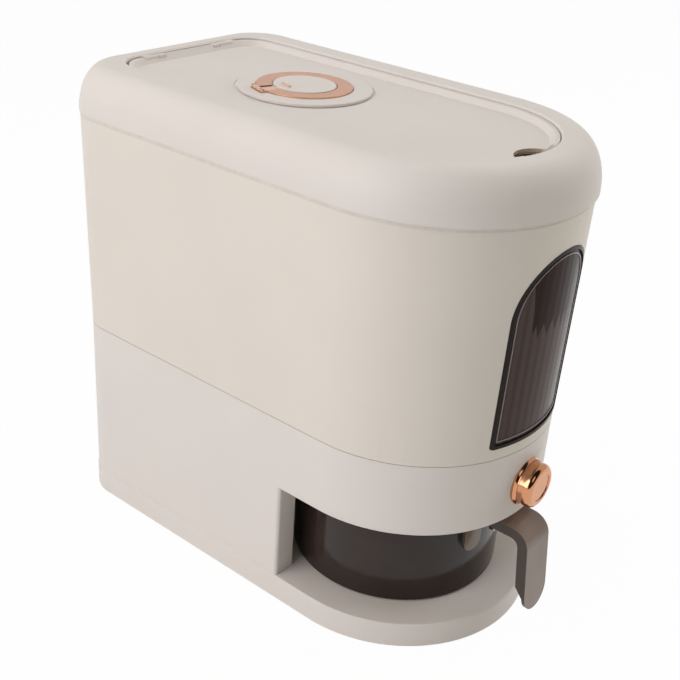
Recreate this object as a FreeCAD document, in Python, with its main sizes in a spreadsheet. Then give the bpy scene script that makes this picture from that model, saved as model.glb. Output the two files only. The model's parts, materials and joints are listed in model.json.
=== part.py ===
import FreeCAD
import Part

import math
import os

import Sketcher
from FreeCAD import Placement, Rotation, Vector

# Rice dispenser: a bin with a funnel floor over a bay that holds a round measuring cup.
# Pressing the button slides a slotted gate back, and the rice falls through the spout into the cup.
# Millimetres. +Z up, front at -Y, mirror plane X = 0. Inside a sub-part, y = 0 is the middle of the body;
# every sub-part's Placement carries the same small shift along Y that centres the whole object on its origin.

DRIVING_SIZES = {
    # body, seen from above a D with a half-round front
    "half_width": 100.0,
    "front_reach": 173.5,
    "back_reach": 173.5,
    "back_corner": 29.0,
    "shell_wall": 3.0,
    # heights, from the floor up
    "foot_stand": 0.8,
    "base_height": 18.9,
    "bay_height": 76.1,
    "band_height": 55.1,
    "bin_height": 161.4,
    "seal_height": 2.7,
    "lid_height": 31.75,
    # base plate
    "base_flare": 0.6,
    "base_deck": 3.0,
    "base_edge": 1.2,
    "base_rib": 2.0,
    "rib_end": 4.3,
    "rib_back": 20.0,
    "foot_half": 9.0,
    "foot_seat": 2.3,
    "foot_side_inset": 38.0,
    "foot_front_inset": 45.5,
    "foot_back_inset": 23.5,
    "hook_half": 6.0,
    "hook_inset": 10.5,
    "hook_rise": 4.0,
    "hook_back_inset": 48.0,
    # column and cup bay
    "column_set_back": 33.5,
    "bay_inset": 12.0,
    "column_edge": 2.8,
    "band_edge": 1.2,
    "roof_thick": 2.8,
    "seam_gap": 0.5,
    "seam_depth": 1.0,
    "clip_half": 7.0,
    "clip_thick": 2.0,
    "clip_rise": 8.0,
    "clip_root": 10.0,
    "clip_pitch": 90.0,
    # bin
    "bin_flare": 2.75,
    # window
    "window_half": 42.0,
    "sill_rise": 8.1,
    "head_drop": 20.3,
    "window_corner": 3.0,
    "bezel_width": 2.6,
    "bezel_proud": 0.4,
    "pane_sink": 1.0,
    "pane_thick": 4.2,
    "pane_joint": 0.15,
    "flute_half": 2.9,
    "flute_depth": 2.4,
    "flute_pitch": 4.3,
    "flute_margin": 2.0,
    # lid
    "lid_over": 0.65,
    "lid_nose": 1.4,
    "lid_wall": 2.6,
    "roll_in": 18.6,
    "roll_back": 10.1,
    "roll_start": 1.2,
    "lid_corner": 6.4,
    "lid_flange": 2.5,
    "tab_half_width": 9.0,
    "tab_depth": 9.0,
    "tab_thick": 2.0,
    "well_inset": 30.0,
    "well_front_inset": 23.5,
    "well_back_inset": 15.0,
    "well_corner": 22.0,
    "well_chamfer": 1.0,
    "well_wall": 3.0,
    "ledge_width": 7.5,
    "ledge_front": 19.5,
    "mouth_corner": 16.0,
    "scoop_radius": 14.5,
    "scoop_depth": 9.0,
    "scoop_wall": 2.5,
    # flap
    "flap_gap": 0.8,
    "flap_corner": 24.0,
    "lip_drop": 1.75,
    "lip_flat": 3.0,
    "lip_slope": 3.0,
    "tray_depth": 3.7,
    "flap_thick": 2.5,
    "guide_rib_gap": 1.0,
    "guide_rib": 2.0,
    "guide_rib_drop": 8.3,
    # hinge of the flap
    "knuckle_radius": 2.0,
    "knuckle_drop": 0.3,
    "pin_radius": 1.0,
    "pin_short": 1.0,
    "post_inner": 24.3,
    "post_width": 6.7,
    "barrel_margin": 4.0,
    # desiccant unit in the flap
    "dial_centre": 41.0,
    "dial_radius": 47.0,
    "dial_thick": 2.0,
    "hole_radius": 41.0,
    "basket_play": 0.5,
    "basket_drop": 24.0,
    "basket_wall": 1.6,
    "basket_slot": 2.6,
    "basket_pitch": 6.0,
    # lift ring
    "ring_outer": 33.5,
    "ring_inner": 22.7,
    "ring_thick": 1.6,
    "ring_recess": 0.8,
    "ring_turn": 160.0,
    "saddle_half": 5.5,
    "saddle_inner": 14.5,
    "ring_hinge": 36.0,
    "curl_radius": 1.6,
    "ring_pin_radius": 0.8,
    "ear_width": 2.5,
    "saddle_thick": 1.0,
    # button, stem and gate
    "button_rise": 24.2,
    "button_proud": 12.0,
    "button_radius": 16.0,
    "button_edge": 1.3,
    "button_wall": 2.2,
    "button_travel": 10.0,
    "button_tail": 6.0,
    "dish_rim": 2.3,
    "dish_depth": 0.8,
    "collar_wall": 1.2,
    "collar_proud": 1.2,
    "collar_depth": 9.0,
    "stem_half": 3.5,
    "stem_rib": 1.2,
    "stop_half": 6.0,
    "stop_thick": 3.0,
    "spigot_half": 2.5,
    "guide_back": 22.5,
    "guide_half": 14.0,
    "guide_thick": 3.0,
    "spring_radius": 7.0,
    "spring_wire": 1.4,
    "spring_turns": 4.0,
    "tab_back": 47.5,
    "gate_thick": 2.0,
    "gate_half": 33.0,
    "gate_margin": 7.0,
    "tab_half": 7.0,
    "tab_rise": 5.0,
    # outlet and funnel
    "outlet_back": 78.5,
    "throat_half": 28.0,
    "throat_length": 9.0,
    "throat_rise": 3.0,
    "spout_drop": 2.2,
    "spout_wall": 1.6,
    "table_thick": 3.0,
    "table_fore": 10.5,
    "table_aft": 16.5,
    "rail_width": 4.5,
    "rail_lip": 1.7,
    "rail_lip_thick": 1.6,
    "funnel_drop": 3.6,
    "funnel_rise": 134.0,
    "funnel_side_slope": 1.13,
    "funnel_front_slope": 2.45,
    "funnel_back_slope": 2.07,
    "leg_half": 4.0,
    "peg_half": 2.5,
    "leg_side_inset": 38.0,
    "leg_fore": 23.0,
    "leg_aft": 125.0,
    # measuring cup and its handle
    "cup_set_back": 1.5,
    "cup_room": 11.0,
    "cup_headroom": 4.8,
    "cup_wall": 2.2,
    "cup_floor": 3.0,
    "cup_edge": 1.5,
    "grip_half": 14.5,
    "grip_wall": 2.4,
    "grip_depth": 7.8,
    "grip_drop": 1.8,
    "grip_out": 47.0,
    "grip_foot": 3.3,
    "grip_bend": 14.0,
    "grip_lean": 7.0,
    "grip_fade": 13.0,
    "ear_side": 16.2,
    "ear_radius": 8.0,
    "ear_length": 32.6,
    "ear_thick": 1.8,
    # clearances
    "running_gap": 0.05,
    "sliding_gap": 0.3,
    "fitting_gap": 0.15,
}


class Size:
    """A number together with the spreadsheet formula that gives it."""

    def __init__(self, value, formula):
        self.value = float(value)
        self.formula = formula

    def __add__(self, other):
        other = as_size(other)
        return Size(self.value + other.value, f"({self.formula} + {other.formula})")

    def __radd__(self, other):
        return as_size(other) + self

    def __sub__(self, other):
        other = as_size(other)
        return Size(self.value - other.value, f"({self.formula} - {other.formula})")

    def __rsub__(self, other):
        return as_size(other) - self

    def __mul__(self, other):
        other = as_size(other)
        return Size(self.value * other.value, f"({self.formula} * {other.formula})")

    def __rmul__(self, other):
        return as_size(other) * self

    def __truediv__(self, other):
        other = as_size(other)
        return Size(self.value / other.value, f"({self.formula} / {other.formula})")

    def __neg__(self):
        return Size(-self.value, f"(0 - {self.formula})")


def as_size(number):
    """A plain number as a Size, so that both can be mixed in one formula."""
    if isinstance(number, Size):
        return number
    return Size(number, f"({number:.9f})")


def root(size):
    """Square root."""
    return Size(math.sqrt(size.value), f"sqrt({size.formula})")


class SizeSheet:
    """The driving sizes as spreadsheet cells; each reads back as an attribute."""

    def __init__(self, doc, sizes):
        sheet = doc.addObject("Spreadsheet::Sheet", "Sizes")
        for row, (name, value) in enumerate(sizes.items(), start=1):
            sheet.set(f"A{row}", name)
            sheet.set(f"B{row}", f"{value}")
            sheet.setAlias(f"B{row}", name)
            setattr(self, name, Size(value, f"Sizes.{name}"))


doc = FreeCAD.newDocument("rice_dispenser")
size = SizeSheet(doc, DRIVING_SIZES)
doc.recompute()

# levels, each on top of the one before
base_top = size.foot_stand + size.base_height
band_bottom = base_top + size.bay_height
roof_top = band_bottom + size.roof_thick
seam_level = band_bottom + size.band_height
bin_top = seam_level + size.bin_height
lid_level = bin_top + size.seal_height
lid_top = lid_level + size.lid_height
lip_level = lid_top - size.lip_drop
flap_floor = lip_level - size.tray_depth
flap_under = flap_floor - size.flap_thick
# body, bay and lid seen from above
nose = size.half_width - size.front_reach
bay_radius = size.half_width - size.bay_inset
column_front = nose + size.column_set_back
lid_offset = size.bin_flare + size.lid_over
lid_back = size.back_reach + lid_offset
well_half = size.half_width - size.well_inset
well_front = size.well_front_inset - size.front_reach
well_nose = well_front + well_half
well_back = size.back_reach - size.well_back_inset
mouth_half = well_half - size.ledge_width
mouth_nose = well_front + size.ledge_front + mouth_half
mouth_back = well_back - size.ledge_width
# flap, its hinge and the desiccant dial
flap_half = well_half - size.flap_gap
flap_back = well_back - size.flap_gap
hinge_y = flap_back - size.knuckle_radius
hinge_z = lip_level - size.knuckle_drop
swing_drop = hinge_z - flap_under  # the flap's lower rear edge swings lower than it rests
flap_swing = root(swing_drop * swing_drop + size.knuckle_radius * size.knuckle_radius)
ledge_level = hinge_z - flap_swing - size.sliding_gap
barrel_end = well_half - size.well_corner - size.barrel_margin
post_end = size.post_inner + size.post_width
dial_top = flap_floor + size.dial_thick
ring_floor = dial_top - size.ring_recess
ring_top = ring_floor + size.ring_thick
ring_axis = ring_floor + size.curl_radius
# window
window_bottom = seam_level + size.sill_rise
window_top = bin_top - size.head_drop
# button, gate and outlet
band_front = -size.front_reach
button_level = band_bottom + size.button_rise
button_front = band_front - size.button_proud
button_rear = band_front + size.button_tail
cap_face = button_front + size.button_wall
collar_bore = size.button_radius + size.sliding_gap
collar_radius = collar_bore + size.collar_wall
guide_front = band_front + size.guide_back
guide_rear = guide_front + size.guide_thick
tab_front = band_front + size.tab_back
gate_bottom = button_level - size.gate_thick / 2
gate_top = gate_bottom + size.gate_thick
throat_front = band_front + size.outlet_back - size.throat_length / 2
throat_back = throat_front + size.throat_length
throat_level = gate_top + size.throat_rise
spout_level = band_bottom - size.spout_drop
table_front = throat_front - size.table_fore
table_back = throat_back + size.table_aft
# cup
cup_y = nose + size.cup_set_back
cup_radius = bay_radius - size.cup_room
cup_rim = band_bottom - size.cup_headroom
grip_top = cup_rim - size.grip_drop
grip_bottom = base_top + size.grip_foot
grip_front = cup_y - cup_radius - size.grip_out
centre_shift = (-grip_front - lid_back) / 2

kept_parts = []


def bind(thing, name, amount):
    """Ties a property to the sheet."""
    thing.setExpression(name, as_size(amount).formula)


def keep(thing, label, centre=0.0, turn=0.0):
    """Registers a finished sub-part under its own name and places its origin at y = centre."""
    place = centre_shift + centre
    thing.Label = label
    thing.Placement = Placement(Vector(0, place.value, 0), Rotation(Vector(0, 0, 1), as_size(turn).value))
    bind(thing, "Placement.Base.y", place)
    kept_parts.append(thing)
    return thing


def new_body(name):
    return doc.addObject("PartDesign::Body", name)


def sketch_on(body, role, offset=0.0):
    """An empty sketch on one of the body's own origin planes, moved along the plane's normal."""
    plane = next(item for item in body.Origin.OriginFeatures if item.Role == role)
    sketch = body.newObject("Sketcher::SketchObject", f"{body.Name}_sketch")
    sketch.AttachmentSupport = [(plane, "")]
    sketch.MapMode = "FlatFace"
    bind(sketch, "AttachmentOffset.Base.z", offset)
    return sketch


def flat_sketch(body, level=0.0):
    """Sketch seen from above: x to the right, y to the back, at the given height."""
    return sketch_on(body, "XY_Plane", level)


def front_sketch(body, depth=0.0):
    """Sketch seen from the front: x to the right, z up, on the plane y = depth."""
    return sketch_on(body, "XZ_Plane", -as_size(depth))


def side_sketch(body, side=0.0):
    """Sketch seen from the right: y to the right, z up, on the plane x = side."""
    return sketch_on(body, "YZ_Plane", side)


def constrain(sketch, kind, *args):
    return sketch.addConstraint(Sketcher.Constraint(kind, *args))


def set_size(sketch, kind, *args):
    """A driving dimension whose last argument is a Size."""
    amount = as_size(args[-1])
    index = constrain(sketch, kind, *args[:-1], amount.value)
    sketch.setExpression(f"Constraints[{index}]", amount.formula)


def pin_point(sketch, item, point, x, y):
    """Fixes one point of a sketch item at (x, y)."""
    set_size(sketch, "DistanceX", -1, 1, item, point, x)
    set_size(sketch, "DistanceY", -1, 1, item, point, y)


def circle(sketch, x, y, radius):
    x, y, radius = as_size(x), as_size(y), as_size(radius)
    item = sketch.addGeometry(Part.Circle(Vector(x.value, y.value, 0), Vector(0, 0, 1), radius.value))
    pin_point(sketch, item, 3, x, y)
    set_size(sketch, "Radius", item, radius)


def polygon(sketch, points):
    """Closed outline of straight edges through the given corners."""
    corners = [(as_size(x), as_size(y)) for x, y in points]
    places = [Vector(x.value, y.value, 0) for x, y in corners]
    items = []
    for start, end in zip(places, places[1:] + places[:1]):
        items.append(sketch.addGeometry(Part.LineSegment(start, end)))
    for item, following in zip(items, items[1:] + items[:1]):
        constrain(sketch, "Coincident", item, 2, following, 1)
    for item, (x, y) in zip(items, corners):
        pin_point(sketch, item, 1, x, y)


def box_outline(sketch, x0, x1, y0, y1):
    polygon(sketch, [(x0, y0), (x1, y0), (x1, y1), (x0, y1)])


def arc(sketch, centre, radius, start, end):
    """Arc of a circle, angles in degrees, turning anticlockwise."""
    middle = Vector(centre[0].value, centre[1].value, 0)
    whole = Part.Circle(middle, Vector(0, 0, 1), radius.value)
    return sketch.addGeometry(Part.ArcOfCircle(whole, math.radians(start), math.radians(end)))


def line(sketch, start, end):
    a, b = (Vector(p[0].value, p[1].value, 0) for p in (start, end))
    return sketch.addGeometry(Part.LineSegment(a, b))


def half_disc(sketch, y, radius):
    """Half a disc on the plane X = 0, its round side to the back and its flat side at y."""
    y, radius = as_size(y), as_size(radius)
    rim = arc(sketch, (as_size(0), y), radius, 0, 180)
    flat = line(sketch, (-radius, y), (radius, y))
    constrain(sketch, "Coincident", rim, 2, flat, 1)
    constrain(sketch, "Coincident", flat, 2, rim, 1)
    constrain(sketch, "Horizontal", flat)
    pin_point(sketch, rim, 3, as_size(0), y)
    set_size(sketch, "Radius", rim, radius)


def d_outline(sketch, half, nose_y, back, corner):
    """D seen from above: half-round front about (0, nose_y), straight flanks, rounded back corners."""
    half, nose_y, back, corner = (as_size(item) for item in (half, nose_y, back, corner))
    inner, shoulder = half - corner, back - corner
    front = arc(sketch, (as_size(0), nose_y), half, 180, 360)
    right = line(sketch, (half, nose_y), (half, shoulder))
    right_turn = arc(sketch, (inner, shoulder), corner, 0, 90)
    rear = line(sketch, (inner, back), (-inner, back))
    left_turn = arc(sketch, (-inner, shoulder), corner, 90, 180)
    left = line(sketch, (-half, shoulder), (-half, nose_y))
    ring = [front, right, right_turn, rear, left_turn, left]
    for item, following in zip(ring, ring[1:] + ring[:1]):
        constrain(sketch, "Tangent", item, 2, following, 1)
    constrain(sketch, "Vertical", right)
    constrain(sketch, "Vertical", left)
    constrain(sketch, "Horizontal", rear)
    constrain(sketch, "PointOnObject", front, 3, -2)
    constrain(sketch, "Equal", right_turn, left_turn)
    set_size(sketch, "Radius", front, half)
    set_size(sketch, "Radius", right_turn, corner)
    set_size(sketch, "DistanceY", -1, 1, front, 3, nose_y)
    set_size(sketch, "DistanceY", -1, 1, rear, 1, back)


def body_outline(sketch, offset):
    """The body's D, moved outwards by the offset."""
    d_outline(sketch, size.half_width + offset, nose, size.back_reach + offset, size.back_corner + offset)


def arch_outline(sketch, inset):
    """The window's outline from the front: flat sill, rounded bottom corners, half-round head."""
    half = size.window_half - inset
    corner = size.window_corner
    bottom = window_bottom + inset
    spring_line = window_top - size.window_half
    head = arc(sketch, (as_size(0), spring_line), half, 0, 180)
    left = line(sketch, (-half, spring_line), (-half, bottom + corner))
    left_turn = arc(sketch, (corner - half, bottom + corner), corner, 180, 270)
    sill = line(sketch, (corner - half, bottom), (half - corner, bottom))
    right_turn = arc(sketch, (half - corner, bottom + corner), corner, 270, 360)
    right = line(sketch, (half, bottom + corner), (half, spring_line))
    ring = [head, left, left_turn, sill, right_turn, right]
    for item, following in zip(ring, ring[1:] + ring[:1]):
        constrain(sketch, "Tangent", item, 2, following, 1)
    constrain(sketch, "Vertical", left)
    constrain(sketch, "Vertical", right)
    constrain(sketch, "Horizontal", sill)
    constrain(sketch, "PointOnObject", head, 3, -2)
    constrain(sketch, "Equal", right_turn, left_turn)
    set_size(sketch, "Radius", head, half)
    set_size(sketch, "Radius", right_turn, corner)
    set_size(sketch, "DistanceY", -1, 1, head, 3, spring_line)
    set_size(sketch, "DistanceY", -1, 1, sill, 1, bottom)


def feature(body, kind, sketch, reverse=False):
    made = body.newObject(f"PartDesign::{kind}", f"{body.Name}_{kind.lower()}")
    made.Profile = sketch
    made.Reversed = reverse
    return made


def pad(body, sketch, length, reverse=False, both_sides=False):
    made = feature(body, "Pad", sketch, reverse)
    if both_sides:
        made.SideType = "Symmetric"
    bind(made, "Length", length)
    return made


def pocket(body, sketch, length=None, reverse=False, both_sides=False):
    """Cuts against the sketch's normal: down from a flat sketch, backwards from a front one.

    Without a length it cuts all the way through.
    """
    made = feature(body, "Pocket", sketch, reverse)
    if both_sides:
        made.SideType = "Symmetric"
    if length is None:
        made.Type = "ThroughAll"
    else:
        bind(made, "Length", length)
    return made


def revolve(body, sketch, angle=360.0, centred=False):
    """Turns a profile about the sketch's construction line."""
    made = feature(body, "Revolution", sketch)
    made.ReferenceAxis = (sketch, ["Axis0"])
    made.Angle = angle
    made.Midplane = centred
    return made


def axis_line(sketch, start, end):
    """The construction line that a profile is turned about."""
    item = line(sketch, start, end)
    sketch.toggleConstruction(item)
    pin_point(sketch, item, 1, *start)
    pin_point(sketch, item, 2, *end)


def loft(body, kind, sketches, ruled=False):
    made = body.newObject(f"PartDesign::{kind}", f"{body.Name}_{kind.lower()}")
    made.Profile = sketches[0]
    made.Sections = sketches[1:]
    made.Ruled = ruled
    return made


def dress(body, kind, amount_name, amount, pick):
    """Fillet or chamfer on the edges of the body's latest shape that pick() accepts."""
    doc.recompute()
    base = body.Tip
    names = [f"Edge{i}" for i, edge in enumerate(base.Shape.Edges, start=1) if pick(edge)]
    made = body.newObject(f"PartDesign::{kind}", f"{body.Name}_{kind.lower()}")
    made.Base = (base, names)
    bind(made, amount_name, amount)
    return made


def level_edge(edge, level):
    """True for an edge that lies in the horizontal plane at this height."""
    box = edge.BoundBox
    return abs(box.ZMin - level.value) < 1e-4 and abs(box.ZMax - level.value) < 1e-4


def outline_distance(edge, half, nose_y, back, corner):
    """Largest distance from the edge's middle to a D outline, to tell nested loops apart."""
    middle = edge.valueAt((edge.FirstParameter + edge.LastParameter) / 2)
    half, nose_y, back, corner = (as_size(item).value for item in (half, nose_y, back, corner))
    if middle.y < nose_y:
        return abs(math.hypot(middle.x, middle.y - nose_y) - half)
    if middle.y > back - corner and abs(middle.x) > half - corner:
        return abs(math.hypot(abs(middle.x) - half + corner, middle.y - back + corner) - corner)
    return min(abs(abs(middle.x) - half), abs(middle.y - back))


def on_body_outline(edge, offset):
    offset = as_size(offset)
    return outline_distance(edge, size.half_width + offset, nose, size.back_reach + offset,
                            size.back_corner + offset) < 1e-3


# --- base -----------------------------------------------------------------------------------------

def foot_places():
    side = size.half_width - size.foot_side_inset
    front = [(sign * side, size.foot_front_inset - size.front_reach) for sign in (1, -1)]
    back = [(sign * side, size.back_reach - size.foot_back_inset) for sign in (1, -1)]
    return front + back


def squares(sketch, places, half):
    for x, y in places:
        box_outline(sketch, x - half, x + half, y - half, y + half)


def base_plate():
    """Floor of the bay: a skirted D plate, open underneath, with ribs, foot seats and snap hooks."""
    body = new_body("base")
    outline = flat_sketch(body, size.foot_stand)
    body_outline(outline, size.base_flare)
    pad(body, outline, size.base_height)

    hollow = flat_sketch(body, size.foot_stand)
    body_outline(hollow, size.base_flare - size.shell_wall)
    pocket(body, hollow, size.base_height - size.base_deck, reverse=True)

    deck_under = base_top - size.base_deck
    seats = flat_sketch(body, size.foot_seat)
    squares(seats, foot_places(), size.foot_half + size.base_rib / 2)
    pad(body, seats, deck_under - size.foot_seat)

    long_ribs = flat_sketch(body, size.rib_end)
    half_rib = size.base_rib / 2
    inset = size.shell_wall / 2
    box_outline(long_ribs, -half_rib, half_rib, inset - size.front_reach, size.back_reach - inset)
    pad(body, long_ribs, deck_under - size.rib_end)
    for across in (nose, size.rib_back):
        cross_rib = flat_sketch(body, size.rib_end)
        reach = size.half_width + size.base_flare - inset
        box_outline(cross_rib, -reach, reach, across, across + size.base_rib)
        pad(body, cross_rib, deck_under - size.rib_end)

    hooks = flat_sketch(body, base_top - size.base_deck / 2)
    behind = column_front + size.shell_wall + size.sliding_gap
    ahead = size.back_reach - size.shell_wall - size.sliding_gap
    front_hook = size.half_width - size.hook_inset
    back_hook = size.half_width - size.hook_back_inset
    for side in (1, -1):
        across = side * front_hook
        box_outline(hooks, across - size.hook_half, across + size.hook_half, behind, behind + size.base_deck)
        across = side * back_hook
        box_outline(hooks, across - size.hook_half, across + size.hook_half, ahead - size.base_deck, ahead)
    pad(body, hooks, size.base_deck / 2 + size.hook_rise)

    dress(body, "Chamfer", "Size", size.base_edge,
          lambda edge: level_edge(edge, base_top) and on_body_outline(edge, size.base_flare))
    return keep(body, "base_plate")


def foot_pads():
    """Four square rubber pads under the base."""
    body = new_body("feet")
    sketch = flat_sketch(body)
    squares(sketch, foot_places(), size.foot_half)
    pad(body, sketch, size.foot_seat)
    return keep(body, "foot_pads")


# --- lower housing --------------------------------------------------------------------------------

def frame_leg_places():
    side = size.gate_half + size.rail_width - size.leg_half
    fore, aft = table_front + size.leg_half, table_back - size.leg_half
    return [(sign * side, y) for y in (fore, aft) for sign in (1, -1)]


def hopper_leg_places():
    side = size.half_width - size.leg_side_inset
    fore, aft = throat_front + size.throat_length / 2 - size.leg_fore, throat_back + size.leg_aft
    return [(sign * side, y) for y in (fore, aft) for sign in (1, -1)]


def bay_wall_outline(sketch):
    """Wall round the back of the bay, with the two cheeks that join it to the flanks."""
    front = column_front
    behind = front + size.shell_wall
    inner, outer = bay_radius, bay_radius + size.shell_wall
    side = size.half_width - size.shell_wall / 2
    inner_x = root(inner * inner - (front - nose) * (front - nose))
    outer_x = root(outer * outer - (behind - nose) * (behind - nose))
    centre = (as_size(0), nose)
    low = math.degrees(math.atan2((front - nose).value, inner_x.value))
    high = math.degrees(math.atan2((behind - nose).value, outer_x.value))
    inside = arc(sketch, centre, inner, low, 180 - low)
    outside = arc(sketch, centre, outer, high, 180 - high)
    lines = [
        line(sketch, (side, front), (inner_x, front)),
        line(sketch, (-inner_x, front), (-side, front)),
        line(sketch, (-side, front), (-side, behind)),
        line(sketch, (-side, behind), (-outer_x, behind)),
        line(sketch, (outer_x, behind), (side, behind)),
        line(sketch, (side, behind), (side, front)),
    ]
    right_front, left_front, left_end, left_back, right_back, right_end = lines
    joints = [(right_front, 2, inside, 1), (inside, 2, left_front, 1), (left_front, 2, left_end, 1),
              (left_end, 2, left_back, 1), (left_back, 2, outside, 2), (outside, 1, right_back, 1),
              (right_back, 2, right_end, 1), (right_end, 2, right_front, 1)]
    for joint in joints:
        constrain(sketch, "Coincident", *joint)
    for radius, item in ((inner, inside), (outer, outside)):
        pin_point(sketch, item, 3, as_size(0), nose)
        set_size(sketch, "Radius", item, radius)
    for item in (right_front, left_front, left_back, right_back):
        constrain(sketch, "Horizontal", item)
    for item in (left_end, right_end):
        constrain(sketch, "Vertical", item)
    pin_point(sketch, right_front, 1, side, front)
    pin_point(sketch, left_end, 2, -side, behind)
    set_size(sketch, "DistanceY", -1, 1, right_back, 1, behind)
    set_size(sketch, "DistanceY", -1, 1, left_front, 1, front)


def lower_housing():
    """Column and front band in one moulding, with the bay's roof, the button's guide and snap clips."""
    body = new_body("lower")
    outline = flat_sketch(body, base_top)
    body_outline(outline, 0)
    body_outline(outline, -size.shell_wall)
    pad(body, outline, seam_level - size.seam_gap - base_top)
    rim = flat_sketch(body, seam_level - size.seam_gap)
    body_outline(rim, -size.seam_depth)
    body_outline(rim, -size.shell_wall)
    pad(body, rim, size.seam_gap)

    mouth = flat_sketch(body, base_top)
    reach = 2 * size.half_width
    box_outline(mouth, -reach, reach, -2 * size.front_reach, column_front)
    pocket(body, mouth, size.bay_height, reverse=True)

    roof = flat_sketch(body, band_bottom)
    body_outline(roof, -size.shell_wall / 2)
    pad(body, roof, size.roof_thick)

    wall = flat_sketch(body, base_top)
    bay_wall_outline(wall)
    pad(body, wall, size.bay_height + size.roof_thick / 2)

    guide = flat_sketch(body, roof_top)
    box_outline(guide, -size.guide_half, size.guide_half, guide_front, guide_rear)
    pad(body, guide, button_level + size.guide_half - roof_top)

    clip_roots = flat_sketch(body, seam_level - size.clip_root)
    clip_boxes(clip_roots, as_size(0), size.shell_wall / 2)
    pad(body, clip_roots, size.clip_root - size.seam_gap)
    clips = flat_sketch(body, seam_level - size.clip_root)
    clip_boxes(clips, size.sliding_gap, as_size(0))
    pad(body, clips, size.clip_root + size.clip_rise)

    passages = flat_sketch(body, roof_top)
    squares(passages, frame_leg_places() + hopper_leg_places(), size.peg_half + size.fitting_gap)
    pocket(body, passages, size.roof_thick)

    outlet = flat_sketch(body, roof_top)
    slot = size.spout_wall + size.sliding_gap
    side = size.throat_half + slot
    box_outline(outlet, -side, side, throat_front - slot, throat_back + slot)
    pocket(body, outlet, size.roof_thick)

    button_hole = front_sketch(body, guide_front - size.guide_thick)
    circle(button_hole, 0, button_level, collar_radius + size.running_gap)
    pocket(body, button_hole, reverse=True)

    stem_hole = front_sketch(body, guide_front - size.guide_thick)
    around = size.stem_half + size.running_gap
    box_outline(stem_hole, -around, around, button_level - around, button_level + around)
    pocket(body, stem_hole, size.guide_thick * 3)

    corner_x = root(bay_radius * bay_radius - (column_front - nose) * (column_front - nose)).value

    def column_corner(edge):
        box = edge.BoundBox
        upright = box.ZLength > 20 and box.XLength < 1e-3 and box.YLength < 1e-3
        across = abs(box.XMin)
        at_corner = min(abs(across - corner_x), abs(across - size.half_width.value)) < 0.01
        return upright and at_corner and abs(box.YMin - column_front.value) < 0.01

    dress(body, "Fillet", "Radius", size.column_edge, column_corner)
    dress(body, "Chamfer", "Size", size.band_edge,
          lambda edge: level_edge(edge, band_bottom) and on_body_outline(edge, 0))
    return keep(body, "lower_housing")


def clip_boxes(sketch, gap, root_depth):
    """Six snap clips inside the bin's flanks and back: a gap from the wall, or rooted in it."""
    outer = size.shell_wall + gap - root_depth
    inner = size.shell_wall + gap + size.clip_thick
    flank_out, flank_in = size.half_width - outer, size.half_width - inner
    for y in (-size.clip_pitch / 2, size.clip_pitch / 2 + size.clip_half):
        for low, high in ((flank_in, flank_out), (-flank_out, -flank_in)):
            box_outline(sketch, low, high, y - size.clip_half, y + size.clip_half)
    back_out, back_in = size.back_reach - outer, size.back_reach - inner
    for x in (-size.clip_pitch / 2, size.clip_pitch / 2):
        box_outline(sketch, x - size.clip_half, x + size.clip_half, back_in, back_out)


# --- bin ------------------------------------------------------------------------------------------

def flare_at(level):
    """How far the bin's wall has leaned out at this height."""
    return size.bin_flare * (as_size(level) - seam_level) / size.bin_height


def flared_sections(body, levels, offset):
    sketches = []
    for level in levels:
        sketch = flat_sketch(body, level)
        body_outline(sketch, flare_at(level) + offset)
        sketches.append(sketch)
    return sketches


def upper_housing():
    """Flared bin shell with the window opening."""
    body = new_body("upper")
    levels = [seam_level, bin_top]
    loft(body, "AdditiveLoft", flared_sections(body, levels, 0), ruled=True)
    loft(body, "SubtractiveLoft", flared_sections(body, levels, -size.shell_wall), ruled=True)
    opening = front_sketch(body)
    arch_outline(opening, as_size(0))
    pocket(body, opening, reverse=True)
    return keep(body, "upper_housing")


def front_patch(body, inner, outer):
    """Piece of the bin's front wall, between two offsets from its outer face, higher than the window.

    It turns about an axis that leans forward as much as the wall does.
    """
    low, high = window_bottom - 12, window_top + 12
    sketch = side_sketch(body)
    axis_line(sketch, (nose - flare_at(low), low), (nose - flare_at(high), high))
    corners = []
    for offset, level in ((inner, low), (outer, low), (outer, high), (inner, high)):
        corners.append((nose - size.half_width - flare_at(level) - offset, level))
    polygon(sketch, corners)
    revolve(body, sketch, angle=68.0, centred=True)


def trim_to_arch(body, inset):
    """Cuts away what lies outside the window's outline, moved inwards by the inset."""
    sketch = front_sketch(body)
    reach = size.half_width
    box_outline(sketch, -reach, reach, seam_level - reach, bin_top + reach)
    arch_outline(sketch, inset)
    pocket(body, sketch, reverse=True)


def open_arch(body, inset):
    sketch = front_sketch(body)
    arch_outline(sketch, inset)
    pocket(body, sketch, reverse=True)


def window_bezel():
    """Dark arched frame that lines the window opening and stands a little proud."""
    body = new_body("bezel")
    front_patch(body, -size.shell_wall, size.bezel_proud)
    trim_to_arch(body, size.fitting_gap)
    open_arch(body, size.bezel_width)
    return keep(body, "window_bezel")


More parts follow.
